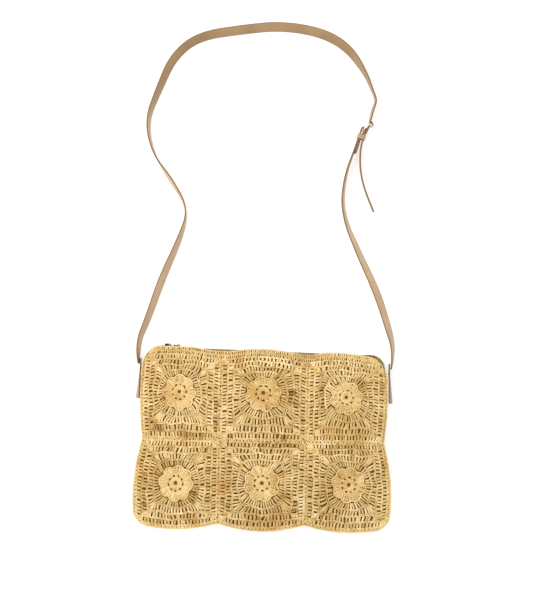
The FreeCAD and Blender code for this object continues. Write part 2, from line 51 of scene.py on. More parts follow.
# %% [markdown]
# ## The camera, the table and the light
# A flat lay is taken from straight above with a long lens, so the bag keeps its true proportions. The
# table is a white sheet, lit evenly by a pale sky. One large lamp from the upper left adds enough
# direction to show the stitches.

# %% Camera, table and light
VIEW_CENTRE = (1.3, 140.8)
VIEW_HEIGHT = 621.0
CAMERA_DISTANCE = 2200.0
SENSOR = 36.0
CAMERA_TURN = 1.3


def add_camera():
    """A camera straight above the view's centre; the lens is sensor x distance / height of the view."""
    data = bpy.data.cameras.new("camera")
    data.sensor_width = SENSOR
    data.lens = SENSOR * CAMERA_DISTANCE / VIEW_HEIGHT
    data.clip_end = 50.0
    camera = bpy.data.objects.new("camera", data)
    camera.location = (VIEW_CENTRE[0] * MM, VIEW_CENTRE[1] * MM, CAMERA_DISTANCE * MM)
    camera.rotation_euler = (0.0, 0.0, math.radians(CAMERA_TURN))
    bpy.context.scene.collection.objects.link(camera)
    bpy.context.scene.camera = camera


def add_lamp(name, place, target, size, power):
    """A square soft box of that size in metres, turned to face the target."""
    data = bpy.data.lights.new(name, "AREA")
    data.size = size
    data.energy = power
    lamp = bpy.data.objects.new(name, data)
    lamp.location = place
    direction = np.array(target) - np.array(place)
    lamp.rotation_mode = "QUATERNION"
    lamp.rotation_quaternion = Vector(direction).to_track_quat("-Z", "Y")
    bpy.context.scene.collection.objects.link(lamp)


def add_sky(strength):
    """An even white sky."""
    world = bpy.data.worlds.new("sky")
    world.use_nodes = True
    world.node_tree.nodes["Background"].inputs["Color"].default_value = (1.0, 1.0, 1.0, 1.0)
    world.node_tree.nodes["Background"].inputs["Strength"].default_value = strength
    bpy.context.scene.world = world


add_camera()
add_sky(0.95)
add_lamp("key_lamp", (-0.9, 0.9, 1.3), (0.0, 0.05, 0.0), 0.6, 17.0)
bpy.context.scene.view_settings.view_transform = "Standard"
print("camera, sky and one lamp")

# %% [markdown]
# ## Meshes from arrays
# Every new piece is an array of points and arrays of faces. One helper turns them into a mesh, and one
# writes a value per point, such as how light a strand is, for a material to read.

# %% Mesh helpers


def mesh_piece(name, points, faces, values=None, smooth=True):
    """An object from (n, 3) points in millimetres and a list of (faces, corners) index arrays."""
    mesh = bpy.data.meshes.new(name)
    mesh.vertices.add(len(points))
    mesh.vertices.foreach_set("co", (np.asarray(points) * MM).astype(np.float32).ravel())
    corners = np.concatenate([face.ravel() for face in faces]).astype(np.int32)
    sizes = np.concatenate([np.full(len(face), face.shape[1]) for face in faces])
    starts = np.concatenate([[0], np.cumsum(sizes)[:-1]]).astype(np.int32)
    mesh.loops.add(len(corners))
    mesh.loops.foreach_set("vertex_index", corners)
    mesh.polygons.add(len(sizes))
    mesh.polygons.foreach_set("loop_start", starts)
    mesh.update(calc_edges=True)
    mesh.validate()
    mesh.polygons.foreach_set("use_smooth", np.full(len(mesh.polygons), smooth))
    for key, value in (values or {}).items():
        value = np.asarray(value, np.float32)
        if value.ndim == 1:
            mesh.attributes.new(key, "FLOAT", "POINT").data.foreach_set("value", value)
        else:
            mesh.attributes.new(key, "FLOAT_VECTOR", "POINT").data.foreach_set("vector", value.ravel())
    piece = bpy.data.objects.new(name, mesh)
    bpy.context.scene.collection.objects.link(piece)
    return piece


def unit(vectors):
    """Each vector divided by its length."""
    return vectors / np.maximum(np.linalg.norm(vectors, axis=-1, keepdims=True), 1e-9)


def tube_faces(count, rings, sides):
    """Quads round count tubes of that many rings, and one cap for each end."""
    tube = np.arange(count)[:, None, None] * rings * sides
    ring = np.arange(rings - 1)[None, :, None] * sides
    corner = np.arange(sides)[None, None, :]
    here = tube + ring + corner
    after = tube + ring + (corner + 1) % sides
    quads = np.stack([here, after, after + sides, here + sides], -1).reshape(-1, 4)
    first = tube[:, 0] + np.arange(sides)[::-1]
    last = tube[:, 0] + (rings - 1) * sides + np.arange(sides)
    return [quads, first, last]


def ring_faces(rings, sides, first=0):
    """Quads of a tube whose last ring joins its first."""
    here = first + np.arange(rings * sides).reshape(rings, sides)
    after = np.roll(here, -1, 1)
    return np.stack([here, after, np.roll(after, -1, 0), np.roll(here, -1, 0)], -1).reshape(-1, 4)


def grid_faces(rows, columns):
    """Quads of a grid of points, row after row."""
    a = (np.arange(rows - 1)[:, None] * columns + np.arange(columns - 1)[None, :]).ravel()
    return [np.stack([a, a + 1, a + columns + 1, a + columns], -1)]


def tubes(path, width, thick, up, sides):
    """Points of tubes along (n, m, 3) paths: each ring is an ellipse, width across and thick along up."""
    along = unit(np.gradient(path, axis=1))
    across = unit(np.cross(up, along))
    out = np.cross(along, across)
    angle = 2 * np.pi * np.arange(sides) / sides
    ring = (across[:, :, None] * (width[..., None, None] * np.cos(angle)[:, None])
            + out[:, :, None] * (thick[..., None, None] * np.sin(angle)[:, None]))
    return path[:, :, None] + ring


def finish_piece(piece, body, material, slot, *nodes):
    """Gives the piece its material, the body that it moves with and the CAD nodes that it stands for."""
    piece.data.materials.clear()
    piece.data.materials.append(material)
    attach(piece, body)
    if nodes:
        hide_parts(*nodes)
    return piece


print("helpers ready")

# %% [markdown]
# ## Materials
# Raffia is a leaf ribbon: it is shiny and pale on one side, duller on the other, and it has fine fibres
# along it. So the stitches carry a value for how light each strand is and a place along it, and the
# colour and the fibres follow those. A slow pattern over the whole bag adds the olive and orange-brown
# patches of dried leaf.

# %% Node helpers


def linear(colour):
    """From an sRGB colour with parts 0 to 255 to linear parts 0 to 1."""
    c = np.array(colour, float) / 255.0
    return tuple(np.where(c <= 0.04045, c / 12.92, ((c + 0.055) / 1.055) ** 2.4)) + (1.0,)


class Nodes:
    """A material's nodes, added and joined in one line each."""

    def __init__(self, name):
        self.material = bpy.data.materials.new(name)
        self.material.use_nodes = True
        self.tree = self.material.node_tree
        self.shader = self.tree.nodes["Principled BSDF"]

    def add(self, kind, inputs=None, **settings):
        """One node with its settings; an input is a number, a colour or another node's output."""
        node = self.tree.nodes.new("ShaderNode" + kind)
        for key, value in settings.items():
            setattr(node, key, value)
        self.join(node, inputs or {})
        return node

    def join(self, node, inputs):
        """Sets or links each named input of a node."""
        for key, value in inputs.items():
            if isinstance(value, bpy.types.NodeSocket):
                self.tree.links.new(value, node.inputs[key])
            else:
                node.inputs[key].default_value = value

    def ramp(self, factor, stops):
        """A colour ramp with (place, colour) stops."""
        node = self.add("ValToRGB", {"Fac": factor})
        elements = node.color_ramp.elements
        while len(elements) < len(stops):
            elements.new(0.5)
        for element, (place, colour) in zip(elements, stops):
            element.position = place
            element.color = colour
        return node.outputs["Color"]

    def mix(self, factor, a, b, blend="MIX"):
        """Two colours mixed by a factor."""
        node = self.add("Mix", data_type="RGBA", blend_type=blend)
        self.join_at(node, 0, factor)
        self.join_at(node, 6, a)
        self.join_at(node, 7, b)
        return node.outputs[2]

    def join_at(self, node, place, value):
        """Sets or links an input by its place, where names repeat."""
        if isinstance(value, bpy.types.NodeSocket):
            self.tree.links.new(value, node.inputs[place])
        else:
            node.inputs[place].default_value = value

    def math(self, operation, a, b=0.0):
        """One sum or product."""
        node = self.add("Math", operation=operation)
        self.join_at(node, 0, a)
        self.join_at(node, 1, b)
        return node.outputs[0]

    def noise(self, vector, scale, detail=2.0):
        """A noise value between 0 and 1."""
        return self.add("TexNoise", {"Vector": vector, "Scale": scale, "Detail": detail}).outputs["Fac"]

    def bump(self, height, strength, distance):
        """A bump normal."""
        node = self.add("Bump", {"Height": height, "Strength": strength, "Distance": distance})
        return node.outputs["Normal"]


print("node helpers ready")

# %% Raffia
RAFFIA_STOPS = [
    (0.00, linear((152, 114, 52))), (0.22, linear((192, 154, 88))), (0.48, linear((217, 184, 120))),
    (0.74, linear((234, 204, 144))), (1.00, linear((246, 224, 174))),
]


def raffia_material(name):
    """Strand lightness from the 'shade' value, with painted shade at the strands' ends, fibres along each
    strand, and slow patches of older leaf.
    """
    m = Nodes(name)
    shade = m.add("Attribute", attribute_name="shade").outputs["Fac"]
    fibre = m.add("Attribute", attribute_name="fibre").outputs["Vector"]
    place = m.add("TexCoord").outputs["Object"]
    streak = m.noise(fibre, 1.0, 3.0)
    value = m.math("ADD", shade, m.math("MULTIPLY", m.math("SUBTRACT", streak, 0.5), 0.7))
    colour = m.ramp(value, RAFFIA_STOPS)
    old_leaf = m.ramp(m.noise(place, 34.0, 3.0), [(0.55, (0, 0, 0, 1)), (0.72, (1, 1, 1, 1))])
    tint = m.mix(m.math("MULTIPLY", old_leaf, 0.50), (1, 1, 1, 1), linear((226, 186, 110)))
    colour = m.mix(1.0, colour, tint, "MULTIPLY")
    olive = m.ramp(m.noise(place, 21.0, 2.0), [(0.58, (0, 0, 0, 1)), (0.74, (1, 1, 1, 1))])
    tint = m.mix(m.math("MULTIPLY", olive, 0.40), (1, 1, 1, 1), linear((214, 206, 140)))
    colour = m.mix(1.0, colour, tint, "MULTIPLY")
    m.join(m.shader, {
        "Base Color": colour, "Roughness": 0.58, "Specular IOR Level": 0.35,
        "Normal": m.bump(streak, 0.5, 0.0004),
    })
    return m.material


raffia = raffia_material("raffia")
print("raffia ready")

# %% Leather, metal, cloth and thread


def leather_material():
    """Tan leather: cloudy, with fine pores, darker where its painted shade value is 1, burnished where 'edge'
    is 1.
    """
    m = Nodes("leather")
    place = m.add("TexCoord").outputs["Object"]
    edge = m.add("Attribute", attribute_name="edge").outputs["Fac"]
    cloud = m.ramp(m.noise(place, 26.0, 3.0), [
        (0.30, linear((178, 148, 112))), (0.55, linear((192, 163, 126))), (0.75, linear((204, 178, 144))),
    ])
    pores = m.noise(place, 2200.0, 2.0)
    # painted shade: a darker leather colour that stands in for shade on parts of the strap
    painted_shade = m.add("Attribute", attribute_name="painted_shade").outputs["Fac"]
    darker = m.ramp(m.noise(place, 26.0, 3.0), [
        (0.30, linear((142, 112, 76))), (0.75, linear((166, 134, 96))),
    ])
    colour = m.mix(edge, m.mix(painted_shade, cloud, darker), linear((126, 91, 54)))
    m.join(m.shader, {
        "Base Color": colour, "Roughness": 0.46, "Specular IOR Level": 0.45,
        "Normal": m.bump(pores, 0.25, 0.0002),
    })
    return m.material


def metal_material(name, colour, roughness, wear_scale):
    """Polished metal whose colour and gloss vary a little, and nearly black where its painted dark reflection
    value is 1.
    """
    m = Nodes(name)
    place = m.add("TexCoord").outputs["Object"]
    wear = m.noise(place, wear_scale, 3.0)
    dull = tuple(0.72 * part for part in colour[:3]) + (1.0,)
    # painted dark reflection: near-black colour mixed in where the attribute is 1
    painted_dark_reflection = m.add("Attribute", attribute_name="painted_dark_reflection").outputs["Fac"]
    m.join(m.shader, {
        "Base Color": m.mix(painted_dark_reflection, m.ramp(wear, [(0.35, dull), (0.60, colour)]), (0.02, 0.014, 0.008, 1.0)),
        "Metallic": 1.0,
        "Roughness": m.math("ADD", m.math("MULTIPLY", wear, 0.15), roughness),
    })
    return m.material


def enamel_material():
    """Black baked enamel with faint rubbed patches."""
    m = Nodes("black_enamel")
    place = m.add("TexCoord").outputs["Object"]
    rubbed = m.noise(place, 900.0, 3.0)
    m.join(m.shader, {
        "Base Color": m.ramp(rubbed, [(0.55, (0.010, 0.009, 0.008, 1)), (0.75, (0.05, 0.045, 0.04, 1))]),
        "Roughness": 0.32,
    })
    return m.material


def cloth_material(name, dark, light, pitch, bump_depth):
    """A plain weave: two sets of threads at that pitch in metres, crossing at right angles."""
    m = Nodes(name)
    place = m.add("TexCoord").outputs["Object"]
    warp = m.add("TexWave", {"Vector": place, "Scale": 0.314 / pitch, "Distortion": 0.4, "Detail": 1.0},
                 bands_direction="X").outputs["Fac"]
    weft = m.add("TexWave", {"Vector": place, "Scale": 0.314 / pitch, "Distortion": 0.4, "Detail": 1.0},
                 bands_direction="Y").outputs["Fac"]
    weave = m.math("MULTIPLY", warp, weft)
    cloudy = m.noise(place, 60.0, 2.0)
    value = m.math("ADD", m.math("MULTIPLY", weave, 0.6), m.math("MULTIPLY", cloudy, 0.4))
    m.join(m.shader, {
        "Base Color": m.ramp(value, [(0.1, dark), (0.6, light)]),
        "Roughness": 0.85, "Normal": m.bump(weave, 0.6, bump_depth),
    })
    return m.material


def thread_material():
    """Waxed brown thread with a twist."""
    m = Nodes("waxed_thread")
    place = m.add("TexCoord").outputs["Object"]
    twist = m.add("TexWave", {"Vector": place, "Scale": 900.0, "Distortion": 1.0}, bands_direction="DIAGONAL")
    m.join(m.shader, {
        "Base Color": m.ramp(twist.outputs["Fac"], [
            (0.2, linear((92, 58, 30))), (0.8, linear((146, 100, 58))),
        ]),
        "Roughness": 0.6,
    })
    return m.material


leather = leather_material()
pale_gold = metal_material("pale_gold", (0.86, 0.76, 0.52, 1.0), 0.18, 500.0)
nickel = metal_material("nickel", (0.80, 0.79, 0.78, 1.0), 0.25, 400.0)
brass = metal_material("aged_brass", (0.27, 0.20, 0.08, 1.0), 0.45, 700.0)
enamel = enamel_material()
tape_cloth = cloth_material("khaki_tape", linear((112, 94, 34)), linear((166, 144, 66)), 0.0006, 0.0002)
# painted shade: the lining is coloured dark brown instead of its natural beige, so the holes between the
# stitches look shaded
shaded_lining_cloth = cloth_material("lining_cotton_painted_shade", linear((128, 86, 26)), linear((160, 114, 44)), 0.0005, 0.0001)
thread = thread_material()
paper = Nodes("white_table")
paper.join(paper.shader, {"Base Color": (0.60, 0.60, 0.60, 1.0), "Roughness": 0.9,
                          "Emission Color": (1.0, 1.0, 1.0, 1.0), "Emission Strength": 0.55})
print("leather, metals, cloths and thread ready")

# %% The table
half = 4000.0
corners = np.array([[-half, -half, 0.0], [half, -half, 0.0], [-half, half, 0.0], [half, half, 0.0]])
table = mesh_piece("white_table", corners, grid_faces(2, 2), smooth=False)
table.data.materials.append(paper.material)
print("table ready")

# %% [markdown]
# ## The strap
# The strap is one ribbon of leather, 10 mm wide. It lies on the table in loose curves, and it turns as it
# goes: on edge at the buckle and where it bends most, flat along the top. Its line is a smooth NURBS
# curve through listed control points, and the ribbon is a rounded section carried along that line
# and leaned by an angle given point by point: 0 stands on edge, 90 lies flat.

# %% The line of the strap
HINGE_HEIGHT = 8.0
STRAP_HALF_WIDTH = 5.0
STRAP_HALF_THICKNESS = 0.8
# x, y, how far the ribbon leans in degrees, and the height of its middle where it is held above the table
LONG_ROUTE = [
    (-129.4, 74.0, -4, 8.0), (-131.4, 95.0, 22, 7.2), (-121.3, 120.0, 36, None), (-107.8, 162.0, 44, None),
    (-89.8, 204.0, 27, None), (-82.0, 234.0, -3, None), (-101.0, 264.0, -20, None), (-120.0, 290.0, 4, None),
    (-127.4, 324.0, 18, None), (-115.0, 357.0, 38, None), (-101.5, 390.0, 52, None), (-76.0, 412.0, 60, None),
    (-31.0, 420.0, 74, None), (9.0, 425.0, 84, None), (51.0, 419.0, 84, None), (78.0, 404.0, 56, None),
    (96.5, 378.0, 20, 5.6), (104.4, 359.0, 6, 6.6), (108.4, 349.6, 4, 7.0), (104.9, 340.5, 14, 7.4),
    (102.8, 331.0, 8, 8.0), (100.5, 320.0, 0, 8.0), (95.9, 311.0, 0, 8.0), (92.9, 299.0, 0, 7.4),
    (93.2, 277.0, 0, None), (99.0, 255.0, 0, None), (108.2, 234.9, 2, None),
]
SHORT_ROUTE = [
    (129.7, 74.0, -4, 8.0), (132.6, 92.0, 18, 7.4), (126.2, 116.0, 42, None), (113.2, 154.0, 48, None),
    (93.2, 194.0, 36, None), (75.6, 234.0, 16, None), (77.4, 270.0, 12, 6.4), (88.6, 303.0, 4, 8.0),
    (93.76, 320.0, 0, 8.0),
]


def lying_height(lean):
    """Middle of a ribbon that lies on the table: half width x cos(lean) + half thickness x sin(lean)."""
    angle = np.abs(np.radians(lean))
    return STRAP_HALF_WIDTH * np.cos(angle) + STRAP_HALF_THICKNESS * np.sin(angle) + 0.1


def smooth_line(name, route):
    """The NURBS curve of these control points, in millimetres, and how far it leans at each point."""
    xyz = np.array([(x, y, lying_height(lean) if z is None else z, 1000.0) for x, y, lean, z in route]) * MM
    curve = bpy.data.curves.new(name, "CURVE")
    curve.dimensions = "3D"
    curve.resolution_u = 16
    spline = curve.splines.new("NURBS")
    spline.points.add(len(route) - 1)
    spline.points.foreach_set("co", xyz.astype(np.float32).ravel())
    spline.order_u = 3
    spline.use_endpoint_u = True
    holder = bpy.data.objects.new(name, curve)
    bpy.context.scene.collection.objects.link(holder)
    bpy.context.view_layer.update()
    mesh = bpy.data.meshes.new_from_object(holder)
    line = np.empty(3 * len(mesh.vertices), np.float32)
    mesh.vertices.foreach_get("co", line)
    bpy.data.objects.remove(holder)
    bpy.data.meshes.remove(mesh)
    line = line.reshape(-1, 3) / MM
    share = np.linspace(0.5, len(route) - 1.5, len(line))
    share[0], share[-1] = 0.0, len(route) - 1.0
    lean = np.interp(share, np.arange(len(route)), [point[2] for point in route])
    return line.astype(float), lean


def line_length(line):
    """The steps along the line added up."""
    return float(np.linalg.norm(np.diff(line, axis=0), axis=1).sum())


long_line, long_lean = smooth_line("long_line", LONG_ROUTE)
short_line, short_lean = smooth_line("short_line", SHORT_ROUTE)
print("long strap", round(line_length(long_line)), "mm, short strap", round(line_length(short_line)), "mm")

# %% The ribbon
# The section, as places across the width and the thickness: round edges, and a shallow crease 1.3 mm in
# from each.
HALF_SECTION = [
    (5.00, 0.00), (4.97, 0.35), (4.80, 0.65), (4.45, 0.80), (3.95, 0.80),
    (3.70, 0.70), (3.45, 0.80), (1.50, 0.82), (-1.50, 0.82), (-3.45, 0.80),
    (-3.70, 0.70), (-3.95, 0.80), (-4.45, 0.80), (-4.80, 0.65), (-4.97, 0.35),
]
SECTION = np.array(HALF_SECTION + [(-across, -thick) for across, thick in HALF_SECTION])


def resample(line, step, *values):
    """Points at even steps along a line, with the values that go with them."""
    distance = np.concatenate([[0.0], np.cumsum(np.linalg.norm(np.diff(line, axis=0), axis=1))])
    places = np.linspace(0.0, distance[-1], int(distance[-1] / step) + 1)
    moved = np.stack([np.interp(places, distance, line[:, axis]) for axis in range(3)], -1)
    return moved, places, [np.interp(places, distance, value) for value in values]


def softened(values, reach):
    """A running mean, so that the ribbon turns gradually."""
    kernel = np.hanning(2 * reach + 3)[1:-1]
    padded = np.concatenate([np.full(reach, values[0]), values, np.full(reach, values[-1])])
    return np.convolve(padded, kernel / kernel.sum(), "valid")


def end_width(distance, length):
    """Half circle at an end: the share of full width at a distance from the tip."""
    return np.sqrt(np.clip(1 - ((length - np.minimum(distance, length)) / length) ** 2, 0.02, 1.0))


def ribbon(name, line, lean, tip_start, tip_end, step=1.6):
    """A leather ribbon: the section carried along the line, its width direction leaned from upright.
    wide = cos(lean) x up + sin(lean) x left, and each ring = line + across x wide + thick x normal."""
    path, places, (lean,) = resample(line, step, lean)
    angle = np.radians(softened(lean, 9))
    along = unit(np.gradient(path, axis=0))
    left = unit(np.stack([-along[:, 1], along[:, 0], np.zeros(len(along))], -1))
    upright = np.cross(along, left)
    wide = np.cos(angle)[:, None] * upright + np.sin(angle)[:, None] * left
    normal = np.cross(along, wide)
    scale = np.ones(len(path))
    if tip_start:
        scale *= end_width(places, tip_start)
    if tip_end:
        scale *= end_width(places[-1] - places, tip_end)
    across = SECTION[None, :, 0] * scale[:, None]
    points = (path[:, None] + across[..., None] * wide[:, None]
              + SECTION[None, :, 1, None] * normal[:, None])
    sides = len(SECTION)
    edge = np.clip((np.abs(SECTION[:, 0]) - 4.4) / 0.4, 0, 1)[None, :] * np.ones((len(path), 1))
    edge[0] = edge[-1] = 1.0
    faces = tube_faces(1, len(path), sides)
    # painted shade: darker leather from y 285 mm up over the top of the loop, and near the sewn ends below y
    # 90 mm
    painted_shade = np.clip((path[:, 1] - 285.0) / 90.0, 0, 1) + 0.8 * np.clip((90.0 - path[:, 1]) / 12.0, 0, 1)
    painted_shade = painted_shade[:, None] * np.ones(sides)
    return mesh_piece(name, points.reshape(-1, 3), faces, {"edge": edge.ravel(), "painted_shade": painted_shade.ravel()})


long_strap = ribbon("long_strap_ribbon", long_line, long_lean, 5.0, 7.0)
finish_piece(long_strap, "strap", leather, "leather", "long_strap")
short_strap = ribbon("short_strap_ribbon", short_line, short_lean, 5.0, 0.0)
finish_piece(short_strap, "strap", leather, "leather", "short_strap")
print("two ribbons")

# %% [markdown]
# ## The buckle
# The buckle's frame is a loop of wire in pale gold, with rounded corners. Its pin turns on the near bar
# and rests on the far one. A loop is a circle carried along a closed path, so it is a tube whose last
# ring joins the first.

# %% Places on the buckle
NEAR_BAR = np.array([95.9, 319.3, 8.0])
UP_STRAP = np.array([0.30945, 0.95092, 0.0])
ACROSS_STRAP = np.array([0.95092, -0.30945, 0.0])
BAR_RADIUS = 0.8
FAR_BAR_ALONG = 8.6
FAR_BAR_ACROSS = 6.4
FRAME_HALF_HEIGHT = 6.4
FRAME_CORNER = 2.2
LAYER_OFFSET = 2.25


def at_buckle(along, across, height):
    """A place from the near bar: along the strap, across to the far side, and up."""
    along, across, height = (np.asarray(value, float)[..., None] for value in (along, across, height))
    return NEAR_BAR + along * UP_STRAP + across * ACROSS_STRAP + height * np.array([0.0, 0.0, 1.0])


def rounded_loop(half_a, half_b, corner, count):
    """A closed rounded rectangle: |a/half_a|^n + |b/half_b|^n = 1, where n grows as the corners tighten."""
    power = 2.0 * min(half_a, half_b) / corner
    angle = 2 * np.pi * np.arange(count) / count
    total = np.abs(np.cos(angle) / half_a) ** power + np.abs(np.sin(angle) / half_b) ** power
    radius = total ** (-1 / power)
    return radius * np.cos(angle), radius * np.sin(angle)


def closed_tube(name, path, radius, sides, values):
    """A ring of that radius carried round a closed path."""
    along = unit(np.roll(path, -1, 0) - np.roll(path, 1, 0))
    normal = unit(np.cross(along[0], along[len(along) // 4]))
    across = unit(np.cross(normal, along))
    angle = 2 * np.pi * np.arange(sides) / sides
    out = np.cross(along, across)
    ring = np.cos(angle)[None, :, None] * across[:, None] + np.sin(angle)[None, :, None] * out[:, None]
    points = path[:, None] + radius * ring
    return mesh_piece(name, points.reshape(-1, 3), [ring_faces(len(path), sides)], values)


reach = math.hypot(FAR_BAR_ALONG, FAR_BAR_ACROSS)
loop_a, loop_b = rounded_loop(reach / 2, FRAME_HALF_HEIGHT, 1.1, 72)
outward = loop_a / reach + 0.5
bent = -1.8 * outward * loop_b / FRAME_HALF_HEIGHT
loop = at_buckle(outward * FAR_BAR_ALONG - 0.6 * bent, outward * FAR_BAR_ACROSS + 0.8 * bent, loop_b)
# painted dark reflection: the far end of the wire frame is coloured nearly black
painted_dark_reflection = np.clip(outward * 5 - 3.4, 0, 1)
buckle = closed_tube("buckle_wire", loop, BAR_RADIUS, 14, {"painted_dark_reflection": np.repeat(painted_dark_reflection, 14)})
finish_piece(buckle, "buckle", pale_gold, "buckle", "buckle_frame")
print("buckle frame of", len(loop), "rings")

# %% The pin, the folded end and the keeper
def buckle_pin(name):
    """A pin from a ring on the near bar, through the strap and over the far bar, thinner at its tip."""
    share = np.linspace(0.0, 1.0, 24)
    over = unit(FAR_BAR_ALONG * ACROSS_STRAP - FAR_BAR_ACROSS * UP_STRAP)
    path = at_buckle(share * 1.02 * FAR_BAR_ALONG, share * 1.02 * FAR_BAR_ACROSS, 0.0 * share)
    path = path + over * (1.55 * np.clip(share / 0.8, 0, 1) ** 1.5)[:, None]
    radius = (0.80 - 0.25 * share) * np.sqrt(np.clip(1 - np.clip((share - 0.94) / 0.06, 0, 1) ** 2, 0.02, 1))
    up = np.broadcast_to(np.array([0.0, 0.0, 1.0]), path[None].shape)
    pin = tubes(path[None], radius[None], radius[None], up, 12).reshape(-1, 3)
    turn = 2 * np.pi * np.arange(24) / 24
    ring_path = at_buckle(1.9 * np.cos(turn), 1.9 * np.sin(turn), 0.0)
    ring_side = 2 * np.pi * np.arange(10) / 10
    outward = unit(ring_path - NEAR_BAR)
    ring = ring_path[:, None] + 0.5 * (np.cos(ring_side)[None, :, None] * outward[:, None]
                                       - np.sin(ring_side)[None, :, None] * np.array([0.0, 0.0, 1.0]))
    faces = tube_faces(1, 24, 12) + [ring_faces(24, 10, first=len(pin))]
    return mesh_piece(name, np.concatenate([pin, ring.reshape(-1, 3)]), faces)


def fold_path():
    """Round the near bar by half a circle, then back beside the short strap, closing up against it."""
    turn = np.radians(np.linspace(-90, 90, 13))
    round_bar = at_buckle(LAYER_OFFSET * np.cos(turn), LAYER_OFFSET * np.sin(turn), 0.0)
    line, _, (lean,) = resample(short_line[::-1], 1.2, short_lean[::-1])
    line, lean = line[1:23], lean[1:23]
    back = unit(np.gradient(line, axis=0))
    gap = 1.72 + 2.78 * np.clip(1 - np.arange(22) / 7.0, 0, 1) ** 2
    beside = line + gap[:, None] * np.stack([-back[:, 1], back[:, 0], np.zeros(22)], -1)
    return np.concatenate([round_bar, beside]), np.concatenate([np.zeros(13), -lean])


pin = buckle_pin("buckle_pin")
finish_piece(pin, "prong", pale_gold, "buckle", "buckle_prong")
fold_line, fold_lean = fold_path()
fold = ribbon("strap_fold_ribbon", fold_line, fold_lean, 0.0, 5.0, step=0.8)
finish_piece(fold, "strap", leather, "leather", "strap_fold")


KEEPER_SECTION = np.array([(-2.5, -0.45), (-2.2, -0.6), (2.2, -0.6), (2.5, -0.45), (2.5, 0.45), (2.2, 0.6),
                           (-2.2, 0.6), (-2.5, 0.45)])
KEEPER_ALONG = -8.0
KEEPER_ACROSS = 0.25


def keeper_band(name):
    """A strip of leather carried round a rounded rectangle: point = loop + thick x outward normal."""
    across, height = rounded_loop(3.8, 5.9, 1.9, 64)
    slope_across, slope_height = (np.roll(value, -1) - np.roll(value, 1) for value in (across, height))
    normal = unit(np.stack([slope_height, -slope_across], -1))
    along = KEEPER_ALONG + KEEPER_SECTION[None, :, 0] + 0 * across[:, None]
    points = at_buckle(along, KEEPER_ACROSS + across[:, None] + KEEPER_SECTION[None, :, 1] * normal[:, :1],
                       height[:, None] + KEEPER_SECTION[None, :, 1] * normal[:, 1:])
    edge = np.tile(np.clip((np.abs(KEEPER_SECTION[:, 0]) - 2.2) / 0.3, 0, 1), len(across))
    # painted shade at half strength on the keeper
    values = {"edge": edge, "painted_shade": np.full(len(edge), 0.5)}
    return mesh_piece(name, points.reshape(-1, 3), [ring_faces(len(across), len(KEEPER_SECTION))], values)


keeper = keeper_band("keeper_band")
finish_piece(keeper, "keeper", leather, "leather", "strap_keeper")
print("fold, pin and keeper")

# %% [markdown]
# ## The two sewn ends
# Each end of the strap is a flat tongue sewn to the side of the bag with two rows of waxed thread. It
# leans against the rounded edging below, and stands upright at the top, where the strap bends away from
# it.

# %% Tongues and their stitches
HINGE_Y = 77.0
TONGUE_LOW_Y = 39.0


def tongue_line(x, outward):
    """Straight up the side of the bag: x, y from the low end to past the hinge line, and the lean at each."""
    y = np.linspace(TONGUE_LOW_Y, HINGE_Y + 3.0, 30)
    share = np.clip((HINGE_Y - 6.0 - y) / 32.0, 0.0, 1.0)
    line = np.stack([x + outward * 2.2 * share, y, np.full(30, HINGE_HEIGHT)], -1)
    return line, outward * 20.0 * share


def dashes(name, line, lean, places, heights, offset):
    """Short stitches lying along a ribbon: capsules on its face at places along it and heights across it."""
    along_all = unit(np.gradient(line, axis=0))
    distance = np.concatenate([[0.0], np.cumsum(np.linalg.norm(np.diff(line, axis=0), axis=1))])
    path, up = [], []
    for height in heights:
        steps = places[:, None] + np.array([-1.15, -0.85, 0.0, 0.85, 1.15])[None, :]
        centre = np.stack([np.interp(steps, distance, line[:, axis]) for axis in range(3)], -1)
        along = unit(np.stack([np.interp(steps, distance, along_all[:, axis]) for axis in range(3)], -1))
        angle = np.radians(np.interp(steps, distance, lean))[..., None]
        left = unit(np.stack([-along[..., 1], along[..., 0], 0 * along[..., 0]], -1))
        wide = np.cos(angle) * np.cross(along, left) + np.sin(angle) * left
        normal = np.cross(along, wide) * math.copysign(1.0, offset)
        rise = abs(offset) - np.array([0.35, 0.0, 0.12, 0.0, 0.35])
        path.append(centre + height * wide + rise[None, :, None] * normal)
        up.append(normal)
    path, up = np.concatenate(path), np.concatenate(up)
    width = np.full(path.shape[:2], 0.32)
    points = tubes(path, width, width, up, 6)
    return mesh_piece(name, points.reshape(-1, 3), tube_faces(len(path), 5, 6))


STITCH_PLACES = 3.0 + 3.4 * np.arange(9)
for side_name, x, outward in (("long_strap", -127.3, -1.0), ("short_strap", 127.8, 1.0)):
    line, lean = tongue_line(x, outward)
    tongue = ribbon(side_name + "_tongue", line, lean, 0.0, 5.0, step=1.2)
    finish_piece(tongue, "bag", leather, "leather", side_name + "_sewn_end")
    stitches = dashes(side_name + "_tongue_stitches", line, lean, STITCH_PLACES, (-3.7, 3.7), -outward * 0.86)
    finish_piece(stitches, "bag", thread, "thread", side_name + "_sewn_stitches")
fold_places = 9.0 + 3.4 * np.arange(5)
fold_rows = dashes("fold_stitch_rows", fold_line[13:], fold_lean[13:], fold_places, (-3.4, 3.4), -0.86)
finish_piece(fold_rows, "strap", thread, "thread", "fold_stitches")
print("two tongues, and the stitches of the fold")

# %% [markdown]
# ## The shape of the bag
# Each wall is a quilt: a swelling over the whole pouch, with shallow valleys along the seams between its
# squares. The outline is a row of shallow arcs, one for each square. A square's own coordinates s and t
# run from -1 to 1, and one function carries them to their place on the bag, so every stitch can be laid
# out flat.

